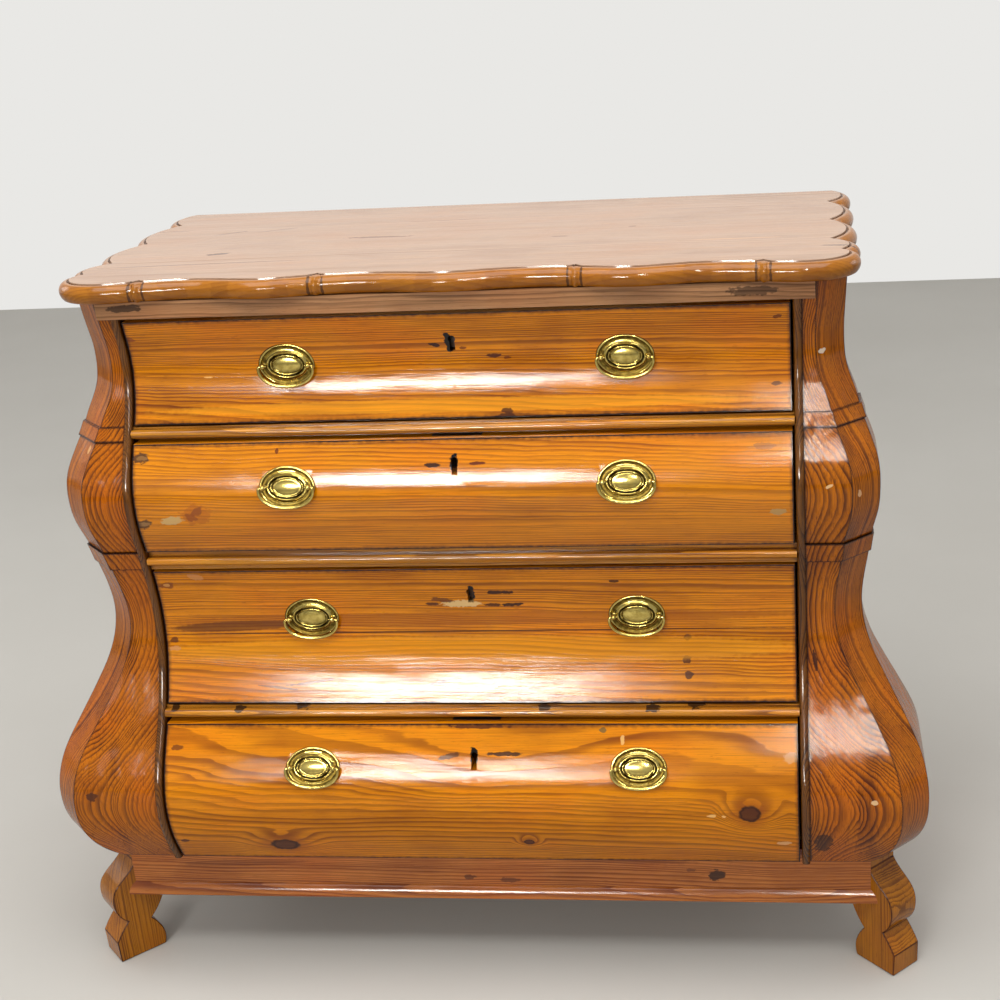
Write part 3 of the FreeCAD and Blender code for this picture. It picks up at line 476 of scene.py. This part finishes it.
# the feet's upright grain, and the grime that brooms have rubbed into their edges
foot_pine = waxed_pine("waxed_pine_feet", "zxy", (380.0, -100.0), 3.2, "b4700f", "5a2a04",
                       gloss=0.8)
grimy_arris = waxed_pine("grimy_foot_edges", "zxy", (0.0, 300.0), 3.0, "6a3a10", "2c1406",
                         gloss=0.5, wax_rough=0.2)
feet = worn_copy("front_feet", "scroll_feet", 0.0014, (foot_pine, grimy_arris))
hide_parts("front_feet")
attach(feet, "carcase")


# ---------------------------------------------------------------- top
# Two thick pine boards glued edge to edge. A round thumb moulding with knots like bamboo is carved
# round the front and sides, and a groove on the upper face follows it. The back edge is straight.
def pick(piece, kind, wanted):
    """Edit mode with only the wanted faces or edges selected; wanted gets each face or edge."""
    if bpy.context.mode != "EDIT_MESH":
        bpy.ops.object.mode_set(mode="EDIT")
    bpy.ops.mesh.select_mode(type=kind)
    bpy.ops.mesh.select_all(action="DESELECT")
    bpy.ops.object.mode_set(mode="OBJECT")
    for part in piece.data.polygons if kind == "FACE" else piece.data.edges:
        part.select = wanted(part)
    bpy.ops.object.mode_set(mode="EDIT")


widest = 0.8880                 # level of the moulding's outermost line
# each step of the moulding from that line: how far in, and how far up or down
nose_steps = [(0.0003, 0.0022), (0.0009, 0.0024), (0.0016, 0.0024), (0.0024, 0.0021),
              (0.0026, 0.0012), (0.0022, 0.0003), (0.0008, -0.0010), (0.0008, -0.0009),
              (0.0008, 0.0002), (0.0007, 0.0030), (0.0010, 0.0001)]
under_steps = [(0.0004, 0.0034), (0.0012, 0.0034), (0.0022, 0.0032), (0.0014, 0.0007)]
nose_height = 0.012             # from the outermost line to the upper face
nose_depth = 0.0068             # of the round part, in front of the groove
knot_places = (-0.364, -0.151, 0.151, 0.364)
# distance from a knot's middle, and how far the moulding stands out or draws in there
knot_swell = {0.0: 0.0011, 0.002: 0.0004, 0.004: -0.0008, 0.0065: -0.0004, 0.010: 0.0}
knot_cuts = sorted({side * away for away in knot_swell for side in (-1, 1)})
knot_half_width = max(knot_swell)
groove_pinch = 0.0062           # how far the groove bends back at a knot
board_joint_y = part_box("top_front_board")[1].y

top = bpy.data.objects.new("scalloped_top", frame["nodes"]["top_front_board"].data.copy())
rear = bpy.data.objects.new("rear_board", frame["nodes"]["top_back_board"].data.copy())
bpy.ops.object.select_all(action="DESELECT")
for board in (rear, top):
    bpy.context.scene.collection.objects.link(board)
    board.select_set(True)
    bpy.context.view_layer.objects.active = board
bpy.ops.object.join()
bpy.ops.mesh.customdata_custom_splitnormals_clear()
top.data.materials.clear()
bpy.ops.object.mode_set(mode="EDIT")
bpy.ops.mesh.select_all(action="SELECT")
bpy.ops.mesh.remove_doubles(threshold=same_point)
# only the underside stays: its outline is lifted to the outermost line, and stepped from there
pick(top, "FACE", lambda face: face.normal.z > -0.9 or face.center.z > 0.8762)
bpy.ops.mesh.delete(type="FACE")
bpy.ops.mesh.select_all(action="SELECT")
bpy.ops.mesh.dissolve_faces()
bpy.ops.mesh.select_all(action="SELECT")
bpy.ops.transform.translate(value=(0.0, 0.0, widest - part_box("top_front_board")[0].z))
bpy.ops.mesh.duplicate()
bpy.ops.mesh.flip_normals()
for step_in, step_up in nose_steps:
    bpy.ops.mesh.inset(thickness=step_in, depth=step_up, use_even_offset=True)
pick(top, "FACE", lambda face: face.normal.z < -0.9 and abs(face.center.z - widest) < 0.0001)
for step_in, step_down in under_steps:
    bpy.ops.mesh.inset(thickness=step_in, depth=step_down, use_even_offset=True)
bpy.ops.mesh.select_all(action="SELECT")
bpy.ops.mesh.remove_doubles(threshold=same_point / 2)
for knot in knot_places:
    for cut in knot_cuts:
        bpy.ops.mesh.select_all(action="SELECT")
        bpy.ops.mesh.bisect(plane_co=(knot + cut, 0.0, 0.0), plane_no=(1.0, 0.0, 0.0))
bpy.ops.object.mode_set(mode="OBJECT")
front_line = {}                 # the foremost point over each place along the front
for point in top.data.vertices:
    column = round(point.co.x, 5)
    front_line[column] = min(front_line.get(column, 0.0), point.co.y)
for knot in knot_places:
    for cut in knot_cuts:
        column = round(knot + cut, 5)
        pinch = 1.0 - abs(cut) / knot_half_width
        swell = knot_swell[abs(cut)]
        for point in top.data.vertices:
            if abs(point.co.x - knot - cut) > same_point or point.co.y > -0.1:
                continue
            behind = point.co.y - front_line[column]
            if behind > nose_depth and point.co.z > widest:
                point.co.y += groove_pinch * pinch ** 1.5
            elif behind <= nose_depth:
                point.co.y -= swell
                point.co.z += swell * (point.co.z - widest) / nose_height


def nose_at(x):
    """How far forward the moulding comes near this place along the front, in millimetres."""
    return 1000 * min(y for column, y in front_line.items() if abs(column - x / 1000) < 0.012)


# cracks, dents and filled holes: across, back, half width, half depth, lean, colour, strength
top_marks = [(-325, -82, 140, 1.0, 2, "40200f", 0.9), (-317, -24, 15, 5, 15, "5a3420", 0.75),
             (-130, 50, 46, 5, -2, "6a4430", 0.6), (-345, 115, 24, 1.6, 30, "5a3420", 0.7),
             (-285, 125, 30, 1.6, 24, "5a3420", 0.6), (-440, 140, 26, 1.4, 0, "5a3420", 0.7),
             (452, -100, 24, 2.2, -6, "3a2010", 0.85), (110, 12, 12, 2, 0, "5a3420", 0.6),
             (196, 60, 6, 2.5, 0, "5a3420", 0.6), (-60, 150, 60, 1.0, 3, "6a4430", 0.6),
             (300, 170, 90, 1.0, 0, "6a4430", 0.6), (330, -40, 60, 4, 0, "d8a880", 0.5)]
# dirt beside the moulding's knots, and its darker patches
top_marks += [(1000 * knot + beside, nose_at(1000 * knot) + 5, 1.6, 11, 0, "2c1406", 0.75)
              for knot in knot_places for beside in (-8, 8)]
top_marks += [(x, nose_at(x) + 3, half_width, 6, 0, "6a3408", 0.24) for x, half_width in (
    (-470, 16), (-405, 12), (-322, 20), (-262, 14), (-190, 12), (-95, 24), (-20, 14), (62, 18),
    (118, 12), (205, 22), (290, 16), (330, 10), (420, 20), (470, 10))]
for name, node, is_rear, pith in (
        ("top_board_front", "top_front_board", False, (-430.0, 640.0)),
        ("top_board_back", "top_back_board", True, (420.0, 560.0))):
    board = top.copy()
    board.data = top.data.copy()
    board.name = name
    bpy.context.scene.collection.objects.link(board)
    bpy.ops.object.select_all(action="DESELECT")
    board.select_set(True)
    bpy.context.view_layer.objects.active = board
    bpy.ops.object.mode_set(mode="EDIT")
    bpy.ops.mesh.select_all(action="SELECT")
    bpy.ops.mesh.bisect(plane_co=(0.0, board_joint_y, 0.0), plane_no=(0.0, 1.0, 0.0),
                        use_fill=True, clear_inner=is_rear, clear_outer=not is_rear)
    bpy.ops.object.mode_set(mode="OBJECT")
    joint_points = {point.index for point in board.data.vertices
                    if abs(point.co.y - board_joint_y) < same_point and point.co.z > 0.8995}
    pick(board, "EDGE", lambda edge: joint_points.issuperset(edge.vertices))
    bpy.ops.mesh.bevel(offset=0.0005, segments=2, affect="EDGES")
    # the broad face is divided, so that no needle of a triangle crosses it
    for step in range(-11, 12):
        for cut_place, cut_facing in (((step * 0.0473, 0.0, 0.0), (1.0, 0.0, 0.0)),
                                      ((0.0, step * 0.0431, 0.0), (0.0, 1.0, 0.0))):
            bpy.ops.mesh.select_all(action="SELECT")
            bpy.ops.mesh.bisect(plane_co=cut_place, plane_no=cut_facing)
    bpy.ops.object.mode_set(mode="OBJECT")
    planed_shading(board, 38.0)
    # scrubbed and bleached pine, pinkish and even, its paleness partly a painted sheen of the
    # bright wall, with the old amber left on the moulding
    board.data.materials.append(waxed_pine(
        "waxed_pine_" + name, "xyz", pith, 3.2, "c2a086", "94704f", contrast=0.5,
        hand=(30.0, 24.0, 24.0), marks=top_marks, face="xy", below=(899.4, 897.4, "e0ac38"),
        gloss=0.85, wax_rough=0.10))
    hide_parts(node)
    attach(board, "carcase")
bpy.data.objects.remove(top)


# ---------------------------------------------------------------- drawer fronts
# Thick fronts, cut to the bombe curve and planed by hand, dovetailed to raw pine boxes. Each is
# a board of its own: golden pine with its own rings, knots, dents, filler and wear. Among its
# marks, the black at the keyholes and some pale bands and lines are painted light and shade.
# pith, ring width, early and late wood, contrast, swing, polish left, knots, marks
front_wood = [
    ((300.0, 200.0), 3.4, "d88404", "743602", 0.95, 9.0, 0.82, [],
     [(-21, 811, 7, 2.5, -15, "2c1206", 0.95), (48, 796, 10, 2.4, 0, "4a1c06", 0.95),
      (64, 793, 6, 1.6, 0, "5a2408", 0.8), (60, 728, 12, 3.5, 0, "3a1806", 0.9),
      # the black oval at the keyhole is painted shade, the dark of the hole carried onto the wood
      # round it
      (-388, 828, 6, 3, 0, "7a3410", 0.7), (-4, 812, 5, 13, 10, "0c0502", 1.0),
      (12, 806, 5, 2, 0, "6a2c0c", 0.8), (-300, 779, 5, 1.2, 0, "f0b860", 0.7),
      # the thin pale line along the top edge is a painted highlight on the rounded arris, with a
      # little wear in it
      (-260, 828, 8, 1.2, 20, "b06010", 0.7), (0, 850, 330, 1.0, 0, "f2c078", 0.5),
      # the broad pale band low on the front is painted light, where the face turns up towards the
      # skylight
      (0, 741, 385, 8, 0, "f4a21c", 0.45), (378, 834, 6, 2.5, 15, "5a2408", 0.8),
      (376, 756, 7, 2.5, 0, "4a1e08", 0.8), (62, 734, 7, 3, 0, "3a1608", 0.85)]),
    ((60.0, 150.0), 3.8, "e08a04", "7a3a02", 0.75, 10.0, 1.0, [],
     [(-317, 629, 9, 5, 35, "5a2208", 0.8), (-324, 622, 8, 5, -30, "6a2c0c", 0.8),
      (-318, 625, 18, 13, 0, "a8540a", 0.5), (-383, 692, 12, 5.5, 0, "4a3018", 0.9),
      (-381, 692, 8, 2.6, 0, "8a6030", 0.8), (-386, 614, 12, 6, 0, "4a3018", 0.9),
      (-384, 614, 8, 3, 0, "9a7040", 0.8), (-350, 618, 15, 5, 8, "c8a468", 0.9),
      (376, 618, 11, 4.5, 0, "b08c54", 0.85), (-27, 679, 10, 2.6, 0, "2c1206", 0.95),
      # the black oval at the keyhole is painted shade, the dark of the hole carried onto the wood
      # round it
      (27, 680, 11, 2.0, 0, "5a1c08", 0.9), (-1, 680, 5, 11, -4, "0c0502", 1.0),
      (-215, 697, 2, 3, 0, "5a1c08", 0.8), (360, 692, 12, 4, 0, "7a4a28", 0.5),
      (20, 655, 26, 1.0, 2, "8a5028", 0.6)]),
    ((-60.0, 120.0), 3.6, "e08a04", "783802", 0.9, 10.0, 0.8, [],
     [(262, 448, 5, 4, 0, "5a2a0a", 0.85), (261, 421, 6, 5, 20, "4a2208", 0.9),
      (263, 404, 6, 4.5, 0, "4a2610", 0.9), (0, 474, 430, 9, 0.4, "8c4404", 0.5),
      (-300, 466, 90, 7, 2, "4a1c04", 0.7), (0, 457.5, 440, 1.1, 0.25, "3a1604", 0.85),
      # the broad pale band low on the front, below the joint, is painted light where the face turns
      # up, over a lower board that is paler too
      (0, 434, 440, 19, 0.2, "f0a020", 0.4), (-12, 494, 27, 5, 0, "d8b478", 0.9),
      (-35, 499, 16, 3, -8, "5a2c10", 0.8), (36, 509, 17, 2.6, 0, "2c1004", 0.95),
      (28, 492, 13, 2.2, 0, "3a1606", 0.9), (52, 492, 15, 2.4, 4, "2c1004", 0.95),
      # the black oval at the keyhole is painted shade, the dark of the hole carried onto the wood
      # round it
      (-48, 494, 9, 2, 0, "4a1e08", 0.9), (1, 508, 5, 12, 0, "0c0502", 1.0),
      (-380, 524, 10, 5, 0, "7a3c14", 0.8), (-381, 524, 5, 2.4, 0, "c88a40", 0.8),
      (-382, 449, 6, 4, 0, "5a2a0a", 0.85), (-384, 438, 8, 3, 0, "c89060", 0.6),
      (-250, 391, 26, 1.5, -6, "6a3410", 0.85), (-205, 397, 34, 1.5, 7, "6a3410", 0.85),
      (-150, 395, 30, 1.5, -3, "6a3410", 0.8), (-80, 391, 24, 1.8, 5, "3a1a06", 0.9),
      (-45, 396, 18, 2.2, 12, "3a1a06", 0.9), (-15, 398, 24, 1.4, 0, "6a3410", 0.8),
      (40, 394, 22, 1.3, 0, "7a4018", 0.7), (178, 523, 7, 2.2, 0, "3a1a06", 0.9),
      (-340, 535, 12, 4, -20, "c88a50", 0.6)]),
    ((40.0, 90.0), 3.6, "e08a04", "783802", 0.8, 15.0, 0.62,
     [(-251, 197, 17, 9), (334, 253, 12, 10), (62, 206, 6, 4)],
     # the black oval at the keyhole is painted shade, the dark of the hole carried onto the wood
     # round it
     [(38, 321, 23, 2.4, 0, "2c1206", 0.9), (0, 318, 5, 11, 6, "0c0502", 1.0),
      (-32, 318, 16, 3, 12, "3a1808", 0.8), (-378, 327, 8, 3, 0, "6a3410", 0.8),
      (-379, 203, 6, 3, 0, "4a2008", 0.85), (6, 348.5, 36, 2.2, 0, "5a2a0c", 0.85),
      (158, 345, 4, 3, 0, "6a5a30", 0.8), (288, 250, 6, 2, 0, "f0c070", 0.8),
      (303, 249, 3, 2, 0, "f0c070", 0.8), (182, 335, 2.5, 5, 0, "e8b468", 0.8),
      (384, 318, 10, 6, 20, "d8a878", 0.6), (375, 208, 9, 3, 0, "e0b078", 0.7),
      (-45, 286, 60, 1.0, 0, "a05c20", 0.7)]),
]
on_edge = 0.0005                # metres; an edge this near the front's outline belongs to it
worn_depth = 0.014              # edges nearer than this to the inner face aren't worn
for number, (pith, ring, early, late, contrast, swing, polish, knots, marks) in enumerate(
        front_wood, 1):
    node = "drawer_%d_front" % number
    low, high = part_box(node)

    def on_outline(middle):
        return (middle.y < high.y - worn_depth and
                (abs(middle.z - low.z) < on_edge or abs(middle.z - high.z) < on_edge
                 or abs(middle.x - low.x) < on_edge or abs(middle.x - high.x) < on_edge))

    # the worn brown rim, with a thin black band of painted shade at its edge for the gap
    rim = (low.x * 1000, high.x * 1000, low.z * 1000, high.z * 1000, 6.0, "4a1e06", 0.75)
    pine = waxed_pine("waxed_pine_front_%d" % number, "xzy", pith, ring, early, late,
                      contrast=contrast, swing=swing, knots=knots, marks=marks, edges=rim,
                      gloss=polish, wax_rough=0.12)
    front = worn_copy(node, "bombe_front_%d" % number, 0.0014, (pine,), on_outline)
    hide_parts(node)
    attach(front, "drawer_%d" % number)
    dress(["drawer_%d_%s" % (number, part) for part in ("sides", "back", "bottom")], raw_pine)


# ---------------------------------------------------------------- handles
# Oval plates stamped from brass sheet: a rolled rim, a hollow band, a raised ring, a bead and a
# dish. Each carries a cast bail that swings between two posts, which are bolted through the front.
# polished brass: pale gold and bright, duller where fingers don't reach, brown in its corners
brass, tree = new_material("polished_brass")
object_place = add_node(tree, "ShaderNodeTexCoord", {}, out=3)
tarnish = add_node(tree, "ShaderNodeTexNoise",      # blotches some 6 mm across
                   {"Vector": object_place, "Scale": 160.0, "Detail": 4.0})
rubbed = add_node(tree, "ShaderNodeMapRange",
                  {"Value": tarnish, "From Min": 0.35, "From Max": 0.7})
bright = mix_colours(tree, rubbed, to_linear("c8b468"), to_linear("a08a44"))
open_sky = add_node(tree, "ShaderNodeAmbientOcclusion", {"Distance": 0.004}, out=1, samples=6,
                    only_local=True)
hollow = add_node(tree, "ShaderNodeMapRange",
                  {"Value": open_sky, "From Min": 0.97, "From Max": 0.66})
bright = mix_colours(tree, hollow, bright, to_linear("2a1e08"))
rough = add_node(tree, "ShaderNodeMapRange", {"Value": tarnish, "From Min": 0.3, "From Max": 0.75,
                                              "To Min": 0.12, "To Max": 0.26})
show(tree, add_node(tree, "ShaderNodeBsdfPrincipled",
                    {"Base Color": bright, "Metallic": 1.0, "Roughness": rough}))

# tarnished brass: a brown film of old wax left in the hollows of the plates, which draws their rings
tarnished, tree = new_material("tarnished_brass")
object_place = add_node(tree, "ShaderNodeTexCoord", {}, out=3)
film = add_node(tree, "ShaderNodeTexNoise",         # blotches some 4 mm across
                {"Vector": object_place, "Scale": 260.0, "Detail": 3.0})
dull = add_node(tree, "ShaderNodeMapRange", {"Value": film, "From Min": 0.4, "From Max": 0.65})
tone = mix_colours(tree, dull, to_linear("4a3a16"), to_linear("6e5c26"))
rough = add_node(tree, "ShaderNodeMapRange", {"Value": film, "To Min": 0.3, "To Max": 0.5})
show(tree, add_node(tree, "ShaderNodeBsdfPrincipled",
                    {"Base Color": tone, "Metallic": 1.0, "Roughness": rough}))

# from the rim to the dish, in mm: half width, half height, height over the seat
plate_rows = [(34.0, 25.5, 0.0), (34.0, 25.5, 0.7), (33.8, 25.3, 1.2), (33.3, 24.8, 1.65),
              (32.4, 23.9, 1.85), (31.5, 23.0, 1.6), (30.9, 22.4, 1.0), (30.0, 21.5, 0.5),
              (28.6, 20.1, 0.4), (26.8, 18.2, 0.5), (25.6, 17.1, 1.1), (24.9, 16.5, 2.0),
              (24.0, 15.7, 2.8), (22.9, 14.7, 3.0), (22.1, 14.0, 2.5), (21.6, 13.4, 1.4),
              (21.2, 12.9, 0.8), (20.8, 12.5, 1.4), (20.4, 12.1, 2.3), (19.7, 11.4, 2.8),
              (19.0, 10.7, 2.5), (18.5, 10.2, 1.6), (18.0, 9.8, 0.7), (16.6, 8.8, 0.6),
              (14.0, 7.2, 1.1), (10.0, 5.1, 1.6), (5.0, 2.5, 1.9), (1.5, 0.8, 2.0)]
# bands of the plate that lie low, as shares of its half width
hollow_bands = ((0.76, 0.925), (0.585, 0.64), (0.50, 0.54))
bpy.ops.object.select_all(action="DESELECT")
bpy.ops.mesh.primitive_circle_add(vertices=80, radius=0.001, fill_type="NGON")
plate = bpy.context.object
bpy.ops.object.mode_set(mode="EDIT")
bpy.ops.mesh.select_all(action="SELECT")
wide, tall, level = plate_rows[0]
bpy.ops.transform.resize(value=(wide, tall, 1.0))
for next_wide, next_tall, next_level in plate_rows[1:]:
    bpy.ops.mesh.extrude_region_move(
        TRANSFORM_OT_translate={"value": (0.0, 0.0, (next_level - level) / 1000)})
    bpy.ops.transform.resize(value=(next_wide / wide, next_tall / tall, 1.0),
                             center_override=(0.0, 0.0, next_level / 1000))
    wide, tall, level = next_wide, next_tall, next_level
bpy.ops.mesh.select_all(action="SELECT")
bpy.ops.mesh.normals_make_consistent(inside=False)
bpy.ops.object.mode_set(mode="OBJECT")
bpy.ops.object.shade_smooth_by_angle(angle=math.radians(60.0))
plate_half_width, plate_half_height = plate_rows[0][0] / 1000, plate_rows[0][1] / 1000
for face in plate.data.polygons:
    reach = math.hypot(face.center.x / plate_half_width, face.center.y / plate_half_height)
    face.material_index = int(any(inner < reach < outer for inner, outer in hollow_bands))

# half a bail from the pin in its post to the lowest point, in mm: x and z from the pivot, radius
bail_half = [(23.9, 0.0, 1.2), (30.6, 0.0, 1.2), (31.9, -0.3, 1.6), (32.9, -1.4, 1.85),
             (33.2, -3.2, 1.9), (33.1, -6.2, 1.9), (32.2, -9.6, 1.95), (30.3, -13.2, 2.0),
             (27.3, -16.6, 2.05), (23.2, -19.5, 2.1), (18.2, -21.8, 2.1), (12.4, -23.4, 2.15),
             (6.2, -24.3, 2.2), (0.0, -24.6, 2.2)]
bail_rows = bail_half + [(-x, z, radius) for x, z, radius in reversed(bail_half[:-1])]
bpy.ops.mesh.primitive_circle_add(vertices=16, radius=bail_rows[0][2] / 1000, fill_type="NGON",
                                  location=(bail_rows[0][0] / 1000, 0.0, 0.0),
                                  rotation=(0.0, math.radians(90.0), 0.0))
hoop = bpy.context.object
bpy.ops.object.transform_apply(location=True, rotation=True, scale=True)
bpy.ops.object.mode_set(mode="EDIT")
bpy.ops.mesh.select_all(action="SELECT")
facing = 0.0
for index in range(1, len(bail_rows)):
    (last_x, last_z, last_radius), (x, z, radius) = bail_rows[index - 1:index + 1]
    after = bail_rows[min(index + 1, len(bail_rows) - 1)]
    bpy.ops.mesh.extrude_region_move(
        TRANSFORM_OT_translate={"value": ((x - last_x) / 1000, 0.0, (z - last_z) / 1000)})
    middle = (x / 1000, 0.0, z / 1000)
    heading = math.atan2(after[1] - last_z, after[0] - last_x)
    turn = (heading - facing + math.pi) % (2 * math.pi) - math.pi
    bpy.ops.transform.rotate(value=turn, orient_axis="Y", center_override=middle)
    bpy.ops.transform.resize(value=[radius / last_radius] * 3, center_override=middle)
    facing = heading
bpy.ops.mesh.select_all(action="SELECT")
bpy.ops.mesh.normals_make_consistent(inside=False)
bpy.ops.object.mode_set(mode="OBJECT")
bpy.ops.object.shade_smooth_by_angle(angle=math.radians(50.0))


def placed_copy(source, name, metals, place):
    """A copy of a finished plate or bail in its metals, with its place in its mesh."""
    piece = bpy.data.objects.new(name, source.data.copy())
    bpy.context.scene.collection.objects.link(piece)
    for metal in metals:
        piece.data.materials.append(metal)
    piece.data.transform(place)
    return piece


pivot_height = 0.0085           # metres, of a bail over its plate's seat
pivots = {joint["child"]: Vector(joint["pos_m"]) for joint in frame["joints"]
          if "_bail_" in joint["name"]}
# each drawer's plates lean back with its front, and its bails hang out from them, in degrees
for number, tilt_degrees, lean_degrees in ((1, 1.0, 0.0), (2, 15.0, 10.0), (3, 0.0, 0.0),
                                           (4, 23.0, 10.0)):
    tilt, lean = math.radians(tilt_degrees), math.radians(lean_degrees)
    plates = []
    for side in ("left", "right"):
        bail_node = "drawer_%d_bail_%s" % (number, side)
        pivot = pivots[bail_node]
        seat = pivot - pivot_height * Vector((0.0, -math.cos(tilt), math.sin(tilt)))
        plates.append(placed_copy(
            plate, "plate", (brass, tarnished),
            Matrix.Translation(seat) @ Matrix.Rotation(math.radians(90.0) - tilt, 4, "X")))
        bail = placed_copy(
            hoop, "swing_bail_%d_%s" % (number, side), (brass,),
            Matrix.Translation(pivot) @ Matrix.Rotation(lean - tilt, 4, "X"))
        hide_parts(bail_node)
        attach(bail, bail_node)
    bpy.ops.object.select_all(action="DESELECT")
    for piece in plates:
        piece.select_set(True)
    bpy.context.view_layer.objects.active = plates[0]
    bpy.ops.object.join()
    plates[0].name = "stamped_plates_%d" % number
    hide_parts("drawer_%d_backplates" % number)
    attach(plates[0], "drawer_%d" % number)
    dress(("drawer_%d_handle_posts" % number,), brass)
for source in (plate, hoop):
    bpy.data.objects.remove(source)


# ---------------------------------------------------------------- locks
# Forged iron lock cases let into the fronts from behind, with a bolt that rises into the rail.
# Forged iron: dark grey scale with brown rust in blotches some 10 mm across, a little pitted.
iron, tree = new_material("forged_iron")
object_place = add_node(tree, "ShaderNodeTexCoord", {}, out=3)
scale_marks = add_node(tree, "ShaderNodeTexNoise",
                       {"Vector": object_place, "Scale": 90.0, "Detail": 5.0})
rust = add_node(tree, "ShaderNodeMapRange",
                {"Value": scale_marks, "From Min": 0.45, "From Max": 0.7})
tone = mix_colours(tree, rust, to_linear("3c3936"), to_linear("5c3a24"))
bump = add_node(tree, "ShaderNodeBump",
                {"Height": scale_marks, "Distance": 0.0004, "Strength": 0.6})
show(tree, add_node(tree, "ShaderNodeBsdfPrincipled",
                    {"Base Color": tone, "Metallic": 1.0, "Roughness": 0.5, "Normal": bump}))
dress(["drawer_%d_%s" % (number, part) for number in range(1, 5)
       for part in ("lock_case", "lock_bolt")], iron)
